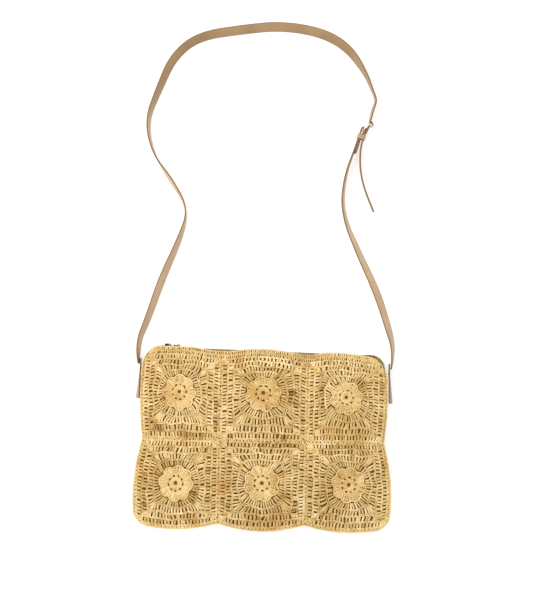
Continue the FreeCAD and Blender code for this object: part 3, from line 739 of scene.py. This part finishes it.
# %% Outline and height of the walls
MIDDLE_Z = 9.0
EDGE_HALF = 4.5
FRONT_RISE, BACK_DROP = 19.0, 10.2
SEAM_X, SEAM_Y = 44.5, -1.5
ZIP_MIDDLE_Y = 89.0
ZIP_ANGLE = math.radians(1.1)
STITCH_PITCH = 3.9
STITCH_DEPTH = 1.7
# How far the mouth's edge rises above the zip's line, as (x, rise): a lobe over each square.
MOUTH_LOBES = np.array([
    (-125, 0.2), (-107, 1.0), (-90, 1.4), (-73, 1.2), (-62, -0.6), (-52, -1.6), (-38, -2.0), (-30, -1.0),
    (-20, 0.8), (-8, 1.8), (8, 1.7), (22, 0.4), (33, -1.2), (41, -2.3), (49, -2.0), (55, -0.5),
    (64, 1.2), (81, 1.4), (95, 0.2), (105, -1.0), (115, -2.4), (125, -3.6),
])


def arc_between(share, start, end, bulge):
    """A shallow arc as a parabola: start + (end - start) x share + 4 x bulge x share x (1 - share)."""
    share = np.clip(share, 0.0, 1.0)
    return start + (end - start) * share + 4 * bulge * share * (1 - share)


def half_width(y):
    """From the middle of the bag to its side edge: two arcs that meet at the seam."""
    upper = arc_between((y - SEAM_Y) / 91.0, 123.2, 122.5, 3.4)
    lower = arc_between((SEAM_Y - y) / 87.5, 123.2, 130.0, 4.6)
    return np.where(y > SEAM_Y, upper, lower)


def bottom_edge(x):
    """The bottom edge: one arc under each column of squares."""
    middle = arc_between((x + SEAM_X) / (2 * SEAM_X), -87.0, -87.0, -7.2)
    outer = arc_between((np.abs(x) - SEAM_X) / 85.5, -87.0, -88.5, -6.0)
    return np.where(np.abs(x) < SEAM_X, middle, outer)


def mouth_edge(x):
    """The top edge of the crochet: the sloping line of the zip, with a lobe over each square."""
    return ZIP_MIDDLE_Y - x * math.tan(ZIP_ANGLE) + np.interp(x, MOUTH_LOBES[:, 0], MOUTH_LOBES[:, 1])


def round_corners(x, y):
    """Squeezes the four corners into quarter circles: a -> a x sqrt(1 - b^2 / 2), and b likewise."""
    size = np.where(y < 0, 11.0, np.where(x < 0, 15.0, 17.0))
    gap = np.where(y < 0, y - bottom_edge(x), mouth_edge(x) - y)
    a = np.clip((np.abs(x) - half_width(y)) / size + 1, 0, 1)
    b = np.clip(1 - gap / size, 0, 1)
    x_moved = x - np.sign(x) * size * a * (1 - np.sqrt(1 - b * b / 2))
    return x_moved, y - np.sign(y) * size * b * (1 - np.sqrt(1 - a * a / 2))


def half_thickness(x, y, peak):
    """Edge + (peak - edge) x (1 - |x/128|^3) x (1 - |y/reach|^3) + what the zip adds near the mouth."""
    reach = np.where(y > 0, 92.0, 90.0)
    swell = np.clip(1 - np.abs(x / 128.0) ** 3, 0, 1) * np.clip(1 - np.abs(y / reach) ** 3, 0, 1)
    mouth = 3.7 * np.clip((y - 50.0) / 39.0, 0, 1) ** 2
    return EDGE_HALF + (peak - EDGE_HALF) * swell + mouth


def valley(x, y):
    """How far the seams pull the wall in: depth x exp(-(distance / width)^2), the nearest seam's."""
    upright = np.exp(-((np.abs(x) - SEAM_X) / 8.0) ** 2)
    level = np.exp(-((y - SEAM_Y) / 8.0) ** 2)
    return 1.3 * np.maximum(upright, level)


def front_height(x, y):
    """Height of the bed that the front stitches lie on; it rolls over at the mouth."""
    roll = np.clip(1 - (mouth_edge(x) - y) / 5.0, 0, 1) ** 2
    return MIDDLE_Z + half_thickness(x, y, FRONT_RISE) - valley(x, y) - STITCH_DEPTH - 3.2 * roll


def back_height(x, y):
    """Height of the bed of the back stitches, which the table flattens."""
    return np.maximum(MIDDLE_Z - half_thickness(x, y, BACK_DROP) + 0.5 * valley(x, y) + STITCH_DEPTH, 2.2)


print("front", round(float(front_height(0.0, 0.0)), 1), "mm high in the middle")

# %% From a square's own coordinates to the bag
BORDER, JOIN, MOUTH_BAND = 2.6, 0.8, 6.5
FLOWER_CENTRES = {
    ("left", "top"): (-86.4, 46.8), ("left", "bottom"): (-87.9, -46.6),
    ("middle", "top"): (-0.7, 47.3), ("middle", "bottom"): (-0.6, -44.2),
    ("right", "top"): (83.8, 44.7), ("right", "bottom"): (88.5, -44.2),
}


def stretch(column, row, s, t):
    """Between the sides of a square: x = left + (right - left) x (s + 1) / 2, and y likewise, three times."""
    y = np.where(t * 0 + (row == "top"), 45.0, -45.0) + 40.0 * t
    for _ in range(3):
        left = {"left": BORDER - half_width(y), "middle": JOIN - SEAM_X, "right": SEAM_X + JOIN}[column]
        right = {"left": -SEAM_X - JOIN, "middle": SEAM_X - JOIN, "right": half_width(y) - BORDER}[column]
        x = left + (right - left) * (s + 1) / 2
        low = SEAM_Y + JOIN if row == "top" else bottom_edge(x) + BORDER
        high = mouth_edge(x) - MOUTH_BAND if row == "top" else SEAM_Y - JOIN
        y = low + (high - low) * (t + 1) / 2
    return x, y


def place(column, row, s, t):
    """Stretched to the square's sides, its middle moved to the flower's, and worked a little unevenly."""
    x, y = stretch(column, row, s, t)
    zero = np.zeros(1)
    middle_x, middle_y = stretch(column, row, zero, zero)
    target = FLOWER_CENTRES[column, row]
    pull = np.clip(1 - s * s, 0, 1) * np.clip(1 - t * t, 0, 1)
    loose = np.minimum(1.5 * pull, 0.8) * np.clip(3 * np.hypot(s, t) - 1.0, 0.2, 1)
    wave_x = loose * (np.sin(0.23 * y + 0.11 * x) + 0.6 * np.sin(0.41 * y - 0.17 * x + 2.0))
    wave_y = loose * (np.sin(0.21 * x - 0.13 * y + 1.0) + 0.6 * np.sin(0.39 * x + 0.19 * y))
    x = x + pull * (target[0] - middle_x) + wave_x
    y = y + pull * (target[1] - middle_y) + wave_y
    return round_corners(x, y)


def lay_on_wall(x, y, rise, front):
    """A point that stands rise above the bed of its wall, and the outward normal there."""
    bed = front_height if front else back_height
    step = 0.5
    slope_x = (bed(x + step, y) - bed(x - step, y)) / (2 * step)
    slope_y = (bed(x, y + step) - bed(x, y - step)) / (2 * step)
    normal = unit(np.stack([-slope_x, -slope_y, np.ones_like(x)], -1))
    if not front:
        normal = -normal
    return np.stack([x, y, bed(x, y)], -1) + rise[..., None] * normal, normal


print("squares laid out")

# %% [markdown]
# ## Stitches
# A double crochet is a tall post of twisted ribbon with a chain along its top. So one post is two flat
# strands that wind round each other, and the chain is two short strands that cross. All strands have five
# rings: they are held as arrays of shape (strand, ring), so a whole square is worked out at once. The
# holes between the posts are real.

# %% Strands of a round of stitches
RINGS = 5
SQUARE_HALF = 43.0
ALONG = np.linspace(0.0, 1.0, RINGS)[None, :]
ENDS = (2 * ALONG - 1) ** 2
BOW = np.sin(np.pi * ALONG)
CHAIN_BOW = np.sin(np.pi * (0.1 + 0.8 * ALONG))
ROUNDS = [(0.412, 0.565, 13), (0.565, 0.705, 17), (0.705, 0.845, 21), (0.845, 0.985, 24)]


class Strands:
    """Gathers strands as (s, t, rise, half width, half thickness, lightness) arrays of shape (n, rings)."""

    def __init__(self):
        self.parts = []

    def add(self, s, t, rise, width, thick, shade):
        """Adds strands; numbers are spread over all strands and rings."""
        shape = np.broadcast_shapes(s.shape, t.shape)
        self.parts.append([np.broadcast_to(np.asarray(value, float), shape) for value in
                           (s, t, rise, width, thick, shade)])

    def arrays(self):
        """Each value of all the strands together."""
        return [np.concatenate([part[i] for part in self.parts]) for i in range(6)]


def ring_point(side, u, radius):
    """Round near the flower, square outside: the circle's point and the square's, mixed, then turned."""
    share = np.clip((radius - 0.42) / 0.34, 0, 1)
    share = share * share * (3 - 2 * share)
    s = radius * ((1 - share) * np.sin(u * np.pi / 4) + share * u)
    t = radius * ((1 - share) * np.cos(u * np.pi / 4) + share)
    turn = side * np.pi / 2
    return s * np.cos(turn) + t * np.sin(turn), t * np.cos(turn) - s * np.sin(turn)


def drifting(count, start):
    """Lightness along a yarn: a slow wander plus a little from stitch to stitch."""
    marks = np.arange(0, count + 7, 6)
    slow = np.interp(np.arange(count), marks, rng.normal(0.0, 0.13, len(marks)))
    return start + slow + rng.normal(0.0, 0.10, count)


def post(strands, side, u, inner, outer, size, shade, high=1.15):
    """Two strands side by side from the inner radius to the outer, twisted: rise = bow + 0.22 x sin(wind)."""
    count = len(u)
    radius = inner + (outer - inner) * ALONG
    square = np.clip((inner - 0.40) / 0.25, 0, 1)
    foot = np.clip(u * (1 + square * (outer / inner - 1)), -1, 1)
    lean = rng.normal(0.30, 0.22, (count, 1))
    for strand in (0, 1):
        wind = np.pi * (0.15 + 1.6 * ALONG + strand) + rng.normal(0, 0.5, (count, 1))
        across = 0.95 * size * (0.8 - 1.6 * strand + 0.22 * np.cos(wind)) + 2.0 * lean * (ALONG - 0.5)
        middle = foot[:, None] + (u - foot)[:, None] * ALONG
        s, t = ring_point(side, middle + across / (radius * SQUARE_HALF), radius)
        rise = 0.25 + (high - 0.25) * BOW ** 0.7 + 0.22 * np.sin(wind)
        # painted shade: each strand darker towards its ends, where it tucks under its neighbours
        light = shade[:, None] + rng.normal(0, 0.08, (count, 1)) - 0.22 * (1 - BOW)
        strands.add(s, t, rise, size * rng.normal(0.90, 0.07, (count, 1)) + 0 * ALONG, 0.42, light)


def chain(strands, side, u, pitch, radius, shade, high=1.35):
    """The V over each post: two leaves along the row, one each side of its line, crossed at their ends."""
    count = len(u)
    for strand in (-1.0, 1.0):
        along = u[:, None] + pitch * (1.15 * ALONG - 0.62) + rng.normal(0, 0.02, (count, 1))
        out = radius + (strand * 0.62 * CHAIN_BOW - 0.1) / SQUARE_HALF
        s, t = ring_point(side, along, out)
        rise = high - 0.5 * ENDS + 0.2 * strand * (ALONG - 0.5)
        # painted shade: darker towards the ends of the chain's leaves
        light = shade[:, None] + rng.normal(0.04, 0.08, (count, 1)) - 0.18 * ENDS
        strands.add(s, t, rise, 0.58, 0.42, light)


def square_rounds(strands):
    """Four rounds of tall stitches, more in each than in the last, which fan out at the corners."""
    for inner, outer, count in ROUNDS:
        gap = 0.35 / (0.5 * (inner + outer) * SQUARE_HALF)
        pitch = (2 - 2 * gap) / count
        size = np.interp(0.5 * (inner + outer), [0.49, 0.64, 0.77, 0.92], [0.66, 0.71, 0.75, 0.79])
        shades = drifting(4 * count, 0.56)
        for side in range(4):
            u = -1 + gap + pitch * (np.arange(count) + 0.5) + rng.normal(0, 0.09 * pitch, count)
            shade = shades[side * count:(side + 1) * count]
            post(strands, side, u, inner, outer, size, shade)
            edge = np.linspace(-1 + 1 / count, 1 - 1 / count, count)
            chain(strands, side, edge, 2 / count, outer - 0.004, shade + 0.03)


print("stitch helpers ready")

# %% [markdown]
# ## The flower in each square
# The middle is a small ring with a hole, then eight petals. Each petal is a fan of close stitches whose
# tips make a round scallop, with a chain over it. It stands higher than the rounds about it, and a dark
# gap shows its outline.

# %% Flower strands
PETALS = 8


def polar(radius, angle):
    """Millimetres and radians round the flower's middle to the square's coordinates."""
    return radius / SQUARE_HALF * np.sin(angle), radius / SQUARE_HALF * np.cos(angle)


def flower(strands):
    """Ring, chain, eight bridges with holes between them, and eight fans of petals."""
    turn = rng.uniform(0, 2 * np.pi)
    for radius_in, radius_out, count, width, start in ((2.6, 6.1, 13, 1.10, 0.56), (6.6, 8.9, 9, 1.95, 0.52)):
        angle = turn + 2 * np.pi * np.arange(count)[:, None] / count + rng.normal(0, 0.05, (count, 1))
        radius = radius_in + (radius_out - radius_in) * ALONG
        s, t = polar(radius, angle + 0.10 * ALONG)
        width = width + 0 * angle
        rise = 0.4 + 0.8 * BOW
        # painted shade: ring and bridges darker at their inner ends
        strands.add(s, t, rise, width, 0.45, drifting(count, start)[:, None] - 0.1 * (1 - ALONG))
    for radius, count, high in ((2.7, 10, 0.9), (4.4, 12, 1.2), (5.9, 15, 1.3), (9.1, 22, 1.2)):
        around = 2 * np.pi / count
        for strand in (-0.45, 0.45):
            angle = turn + around * (np.arange(count)[:, None] + 1.2 * ALONG)
            s, t = polar(radius + strand * BOW, angle)
            rise = high - 0.5 * ENDS
            strands.add(s, t, rise, 0.50, 0.40, drifting(count, 0.58)[:, None] + 0 * ALONG)
    fans = 8
    share = (np.arange(fans) + 0.5) / fans - 0.5
    across = np.tile(share, PETALS)[:, None]
    middle = np.repeat(np.arange(PETALS), fans)[:, None] * 2 * np.pi / PETALS + turn
    tip = 17.9 - 9.5 * across ** 2 + rng.normal(0, 0.2, across.shape)
    radius = 9.0 + (tip - 9.0) * ALONG
    angle = middle + across * 2 * np.pi / PETALS * (0.96 + 0.04 * ALONG) + rng.normal(0, 0.02, across.shape)
    shade = drifting(PETALS * fans, 0.60)[:, None]
    for strand in (-1.0, 1.0):
        wind = 2.6 * ALONG + rng.normal(0, 0.4, across.shape)
        s, t = polar(radius, angle + strand * 0.40 * np.cos(wind) / radius)
        rise = 0.6 + 0.5 * np.sin(np.pi * (0.15 + 0.75 * ALONG)) + 0.25 * strand * np.sin(wind)
        # painted shade: petals darker at their inner ends
        light = shade + rng.normal(0, 0.07, across.shape) - 0.08 * (1 - ALONG)
        strands.add(s, t, rise, 0.50 + 0.28 * ALONG, 0.42, light)
    for middle_radius, count in ((11.4, 26), (14.2, 32)):
        around = 2 * np.pi / count
        for strand in (-0.5, 0.5):
            angle = around * (np.arange(count)[:, None] + 1.2 * ALONG) + rng.normal(0, 0.04, (count, 1))
            bow = strand * BOW + rng.normal(0, 0.3, (count, 1))
            s, t = polar(middle_radius + bow, angle)
            rise = 1.25 - 0.7 * ENDS
            # painted shade: darker towards the ends of the chain strands
            strands.add(s, t, rise, 0.52, 0.40, drifting(count, 0.56)[:, None] - 0.1 * ENDS)
    scallop = np.linspace(-0.5, 0.5, 7)
    start, end = np.tile(scallop[:-1], PETALS)[:, None], np.tile(scallop[1:], PETALS)[:, None]
    middle = np.repeat(np.arange(PETALS), 6)[:, None] * 2 * np.pi / PETALS + turn
    across = start + (end - start) * (1.25 * ALONG - 0.12)
    for strand in (-0.35, 0.35):
        radius = 17.8 - 9.8 * across ** 2 + strand * BOW
        s, t = polar(radius, middle + across * 2 * np.pi / PETALS)
        strands.add(s, t, 1.45 - 0.35 * ENDS, 0.50, 0.42, drifting(len(across), 0.62)[:, None])


print("flower ready")

# %% Twelve squares
SIDES = 5


def build_strands(name, path, up, width, thick, shade, sides=SIDES):
    """A mesh of many strands, with each one's lightness and the place along, round and in its yarn."""
    count = len(path)
    points = tubes(path, width, thick, up, sides)
    steps = np.linalg.norm(np.diff(path, axis=1), axis=2)
    along = np.concatenate([np.zeros((count, 1)), np.cumsum(steps, axis=1)], 1)
    full = points.shape[:3]
    fibre = np.stack([
        np.broadcast_to(along[..., None] * 0.35, full),
        np.broadcast_to(np.abs(np.arange(sides) / sides - 0.5)[None, None, :] * 7.0, full),
        np.broadcast_to(rng.uniform(0, 60, (count, 1, 1)), full),
    ], -1)
    light = np.broadcast_to(shade[..., None], full)
    return mesh_piece(name, points.reshape(-1, 3), tube_faces(count, path.shape[1], sides),
                      {"shade": light.ravel(), "fibre": fibre.reshape(-1, 3)})


def granny_square(name, column, row, front):
    """One square: a flower in four rounds, carried from flat coordinates to its place on the wall."""
    strands = Strands()
    flower(strands)
    square_rounds(strands)
    s, t, rise, width, thick, shade = strands.arrays()
    x, y = place(column, row, s, t)
    path, normal = lay_on_wall(x, y, rise, front)
    return build_strands(name, path, normal, width, thick, shade, SIDES if front else 4)


for side_name, front in (("front", True), ("back", False)):
    for row in ("top", "bottom"):
        for column in ("left", "middle", "right"):
            node = f"{side_name}_square_{row}_{column}"
            square = granny_square(node.replace("square", "granny"), column, row, front)
            finish_piece(square, "bag", raffia, "raffia", node)
print("twelve squares,", len(square.data.polygons), "faces in the last")

# %% [markdown]
# ## Rows that join the squares
# Finished squares are joined by a row of short stitches across each seam. Two rows of short stitches,
# each with a chain over it, then run along the mouth.

# %% Joining rows


def seam_strands(start, end, front):
    """Short leaning stitches across a seam, two strands each, from its start to its end."""
    start, end = np.array(start, float), np.array(end, float)
    length = np.linalg.norm(end - start)
    along = (end - start) / length
    across = np.array([-along[1], along[0]])
    count = int(length / STITCH_PITCH)
    where = (np.arange(count) + 0.5) / count * length
    found = []
    for strand in (-0.85, 0.85):
        lean = rng.normal(0.9, 0.4, (count, 1))
        distance = where[:, None] + strand + lean * (ALONG - 0.5) + rng.normal(0, 0.25, (count, 1))
        offset = 3.4 * (ALONG - 0.5)
        x = start[0] + along[0] * distance + across[0] * offset
        y = start[1] + along[1] * distance + across[1] * offset
        # painted shade: each stitch darker towards its ends
        shade = drifting(count, 0.55)[:, None] - 0.15 * ENDS
        path, normal = lay_on_wall(x, y, 0.4 + 0.8 * BOW + 0 * x, front)
        found.append((path, normal, 0.80 + 0 * x, 0.45 + 0 * x, shade + 0 * x))
    return found


def mouth_rows(front):
    """Two rows of short stitches along the mouth, from first to last millimetres below its edge."""
    count = 62
    where = -120.0 + 240.0 * (np.arange(count) + 0.5) / count
    found = []
    for first, last, high in ((6.9, 3.3, 1.0), (3.4, 0.2, 1.1)):
        for strand in (-0.95, 0.95):
            lean = rng.normal(0.5, 0.4, (count, 1))
            x = where[:, None] + strand + lean * (ALONG - 0.5) + rng.normal(0, 0.25, (count, 1))
            x, y = round_corners(x, mouth_edge(x) - (first + (last - first) * ALONG))
            path, normal = lay_on_wall(x, y, 0.35 + high * BOW + 0 * x, front)
            # painted shade: each stitch darker towards its ends
            shade = drifting(count, 0.56)[:, None] - 0.12 * ENDS
            found.append((path, normal, 0.74 + 0 * x, 0.45 + 0 * x, shade + 0 * x))
        for strand in (-0.5, 0.5):
            x = where[:, None] + STITCH_PITCH * (1.15 * ALONG - 0.58)
            y = mouth_edge(x) - last - 0.2 + strand * CHAIN_BOW
            x, y = round_corners(x, y)
            rise = 1.35 - 0.5 * ENDS
            path, normal = lay_on_wall(x, y, rise + 0 * x, front)
            found.append((path, normal, 0.50 + 0 * x, 0.42 + 0 * x, drifting(count, 0.60)[:, None] + 0 * x))
    return found


def joined(parts):
    """The same arrays of several sets of strands, put together."""
    return [np.concatenate([part[i] for part in parts]) for i in range(5)]


for side_name, front in (("front", True), ("back", False)):
    side = float(half_width(np.array(SEAM_Y))) - 2.2
    parts = seam_strands((-side, SEAM_Y), (side, SEAM_Y), front)
    for x in (-SEAM_X, SEAM_X):
        parts += seam_strands((x, SEAM_Y + 2.0), (x, float(mouth_edge(x)) - MOUTH_BAND), front)
        parts += seam_strands((x, float(bottom_edge(np.array(x))) + 2.0), (x, SEAM_Y - 2.0), front)
    parts += mouth_rows(front)
    path, normal, width, thick, shade = joined(parts)
    rows = build_strands(side_name + "_joining_stitches", path, normal, width, thick, shade)
    finish_piece(rows, "bag", raffia, "raffia", side_name + "_joining_rows")
print("joining rows of", len(path), "strands")

# %% [markdown]
# ## The edging
# Front and back are crocheted together along the sides and the bottom. The edging goes round the corner
# of the bag: short stitches run from the front squares to the edge, down the side, and back to the rear
# squares.

# %% The outline as one line
TOP_RETURN = 13.0


def outline(step):
    """Down the left side, along the bottom and up the right side at even steps, round at the corners."""
    top = float(half_width(np.array(90.0)))
    left_y = np.linspace(float(mouth_edge(-top)), -88.5, 200)
    bottom_x = np.linspace(-129.5, 129.5, 400)
    right_y = np.linspace(-88.5, float(mouth_edge(top)), 200)
    top_left = np.linspace(-top + TOP_RETURN, -top, 20)
    top_right = np.linspace(top, top - TOP_RETURN, 20)
    raw = np.concatenate([
        np.stack([top_left, mouth_edge(top_left)], -1), np.stack([-half_width(left_y), left_y], -1),
        np.stack([bottom_x, bottom_edge(bottom_x)], -1), np.stack([half_width(right_y), right_y], -1),
        np.stack([top_right, mouth_edge(top_right)], -1)])
    raw = np.stack(round_corners(raw[:, 0], raw[:, 1]), -1)
    flat = np.concatenate([raw, np.zeros((len(raw), 1))], 1)
    fine = resample(flat, 0.5)[0][:, :2]
    for axis in (0, 1):
        fine[:, axis] = softened_line(fine[:, axis], 11)
    fine = np.concatenate([fine, np.zeros((len(fine), 1))], 1)
    return resample(fine, step)[0][:, :2]


def softened_line(values, reach):
    """A running mean that keeps the two ends where they are."""
    kernel = np.hanning(2 * reach + 3)[1:-1]
    before, after = 2 * values[0] - values[reach:0:-1], 2 * values[-1] - values[-2:-reach - 2:-1]
    padded = np.concatenate([before, values, after])
    return np.convolve(padded, kernel / kernel.sum(), "valid")


edge_line = outline(STITCH_PITCH)
print("edging of", len(edge_line), "stitches")

# %% Edging stitches


def edge_strands(line):
    """Strands over the front edge, under the back edge and down the side, and a chain on each corner."""
    along = unit(np.gradient(line, axis=0))
    inward = np.stack([-along[:, 1], along[:, 0]], -1)
    count = len(line)
    inner = line + 3.2 * inward
    front_z = front_height(inner[:, 0], inner[:, 1])[:, None]
    back_z = back_height(inner[:, 0], inner[:, 1])[:, None]
    found = []

    def add(inset, height, shift, up_in, up_z, width, shade):
        x = line[:, :1] + inward[:, :1] * inset + along[:, :1] * shift
        y = line[:, 1:] + inward[:, 1:] * inset + along[:, 1:] * shift
        path = np.stack([x, y, height + 0 * x], -1)
        up_in, up_z = up_in + 0 * x, up_z + 0 * x
        up = unit(np.stack([inward[:, :1] * up_in, inward[:, 1:] * up_in, up_z], -1))
        found.append((path, up, width + 0 * x, 0.45 + 0 * x, shade + 0 * x))

    # painted shade: each edging strand darker towards its ends
    ends = 0.15 * ENDS
    for strand in (-0.8, 0.8):
        lean = 0.6 * (ALONG - 0.5)
        inset = 3.4 - 2.6 * ALONG
        top = front_z + 0.4 + (12.0 - front_z) * ALONG ** 1.6 + 0.9 * BOW
        add(inset, top, strand + lean, -0.9 * ALONG, 1.0, 0.80, drifting(count, 0.60)[:, None] - ends)
        low = back_z - 0.3 + (5.8 - back_z) * ALONG ** 1.6 - 1.0 * BOW
        low = np.maximum(low, 0.75)
        add(inset, low, strand + lean, -0.9 * ALONG, -1.0, 0.80, drifting(count, 0.55)[:, None] - ends)
        bow = 0.9 - 1.1 * BOW
        height = 12.6 - 7.2 * ALONG
        add(bow, height, strand - lean, -1.0, 0.0, 0.80, drifting(count, 0.52)[:, None] - ends)
    for inset, height, up_z in ((0.3, 12.4, 0.9), (0.3, 5.6, -0.9)):
        for strand in (-0.5, 0.5):
            shift = STITCH_PITCH * (1.15 * ALONG - 0.58)
            bend = strand * CHAIN_BOW
            lift = 0.3 - 0.4 * ENDS
            add(inset + bend, height + math.copysign(1.0, up_z) * lift, shift, -0.6, up_z, 0.56,
                drifting(count, 0.64)[:, None])
    return found


path, normal, width, thick, shade = joined(edge_strands(edge_line))
edging = build_strands("edging_stitches", path, normal, width, thick, shade)
finish_piece(edging, "bag", raffia, "raffia", "edge_border")
print("edging of", len(path), "strands")

# %% [markdown]
# ## The lining
# A cotton pouch lies close behind the crochet. It is what shows through the holes between the stitches, and
# its dark brown colour is painted shade for those holes.

# %% Lining sheets


def lining_sheet(name, bed, gap, turn_over):
    """A sheet just inside a wall: spread over the outline, round at the corners, height = bed + gap."""
    u, v = np.meshgrid(np.linspace(-1, 1, 90), np.linspace(-1, 1, 64))
    x = u * 118.0
    for _ in range(2):
        y_low, y_high = bottom_edge(x) + 1.3, mouth_edge(x) - 1.5
        y = y_low + (y_high - y_low) * (v + 1) / 2
        x = u * (half_width(y) - 1.3)
    x, y = round_corners(x, y)
    points = np.stack([x, y, bed(x, y) + gap], -1).reshape(-1, 3)
    faces = grid_faces(64, 90)
    if turn_over:
        faces = [face[:, ::-1] for face in faces]
    sheet = mesh_piece(name, points, faces)
    solid = sheet.modifiers.new("cloth_thickness", "SOLIDIFY")
    solid.thickness = 0.4 * MM
    solid.offset = -1.0
    return sheet


front_lining = lining_sheet("front_lining_cotton", front_height, -0.9, False)
finish_piece(front_lining, "bag", shaded_lining_cloth, "lining", "lining_front")
back_lining = lining_sheet("back_lining_cotton", back_height, 0.9, True)
finish_piece(back_lining, "bag", shaded_lining_cloth, "lining", "lining_back")
print("two linings")

# %% [markdown]
# ## The zip
# The tape is khaki cotton with brass teeth. It lies between the two walls, and only its edge shows from
# above, where the crochet dips at a seam and near the right end. The slider is black with a plain nickel
# pull.

# %% Zip parts
for node_name, finish in (
    ("zip_tape_front", tape_cloth), ("zip_tape_back", tape_cloth), ("zip_end_left", tape_cloth),
    ("zip_teeth_front", brass), ("zip_teeth_back", brass), ("zip_end_teeth", brass), ("zip_stops", brass),
    ("zip_slider", enamel),
):
    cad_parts[node_name].data.materials.clear()
    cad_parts[node_name].data.materials.append(finish)


def raised_tape(name):
    """The closed right end of the tape: it follows the round corner and turns its face up."""
    u = np.linspace(101.0, 123.0, 40)[:, None]
    w = np.linspace(-4.4, 4.4, 12)[None, :]
    rise = 1.7 * np.sin(np.pi / 2 * np.clip((u - 99.0) / 8.0, 0, 1))
    corner = np.clip((u - 109.0) / 14.0, 0, 1)
    drop = 14.0 * (1 - np.sqrt(1 - 0.98 * corner * corner))
    tilt = 5.6 * np.clip((u - 99.0) / 6.0, 0, 1)
    v = rise - 0.2 - drop - tilt * (1 - 0.5 * corner) * (w + 4.4) / 8.8 - 0.02 * w ** 2
    x = u * math.cos(ZIP_ANGLE) + v * math.sin(ZIP_ANGLE)
    y = ZIP_MIDDLE_Y - u * math.sin(ZIP_ANGLE) + v * math.cos(ZIP_ANGLE)
    points = np.stack([x + 0 * w, y + 0 * w, MIDDLE_Z + w + 0 * u], -1).reshape(-1, 3)
    tape = mesh_piece(name, points, [face[:, ::-1] for face in grid_faces(40, 12)])
    solid = tape.modifiers.new("tape_thickness", "SOLIDIFY")
    solid.thickness = 0.7 * MM
    solid.offset = 0.0
    return tape


PULL_PIN = np.array([-98.0, 94.4, 9.0])


def zip_pull(name):
    """A drop-shaped pull: its radius grows from a thin neck to a bulb and closes again at the tip."""
    share = np.linspace(0.0, 1.0, 40)
    neck = 0.55 + 0.95 * np.clip((share - 0.28) / 0.25, 0, 1) ** 1.5
    radius = neck * np.sqrt(np.clip(1 - np.clip((share - 0.90) / 0.10, 0, 1) ** 2, 0.01, 1))
    along = np.array([math.cos(ZIP_ANGLE), -math.sin(ZIP_ANGLE), 0.0])
    path = (PULL_PIN + along * (-0.3 + 11.3 * share)[:, None])[None]
    up = np.broadcast_to(np.array([0.0, 1.0, 0.0]), path.shape)
    points = tubes(path, 1.35 * radius[None], radius[None], up, 16)
    return mesh_piece(name, points.reshape(-1, 3), tube_faces(1, 40, 16))


finish_piece(zip_pull("zip_pull_drop"), "pull", nickel, "zip_pull", "zip_pull_tab")
right_tape = raised_tape("zip_tape_right_end")
finish_piece(right_tape, "bag", tape_cloth, "zip_tape", "zip_end_right")
print("zip dressed")
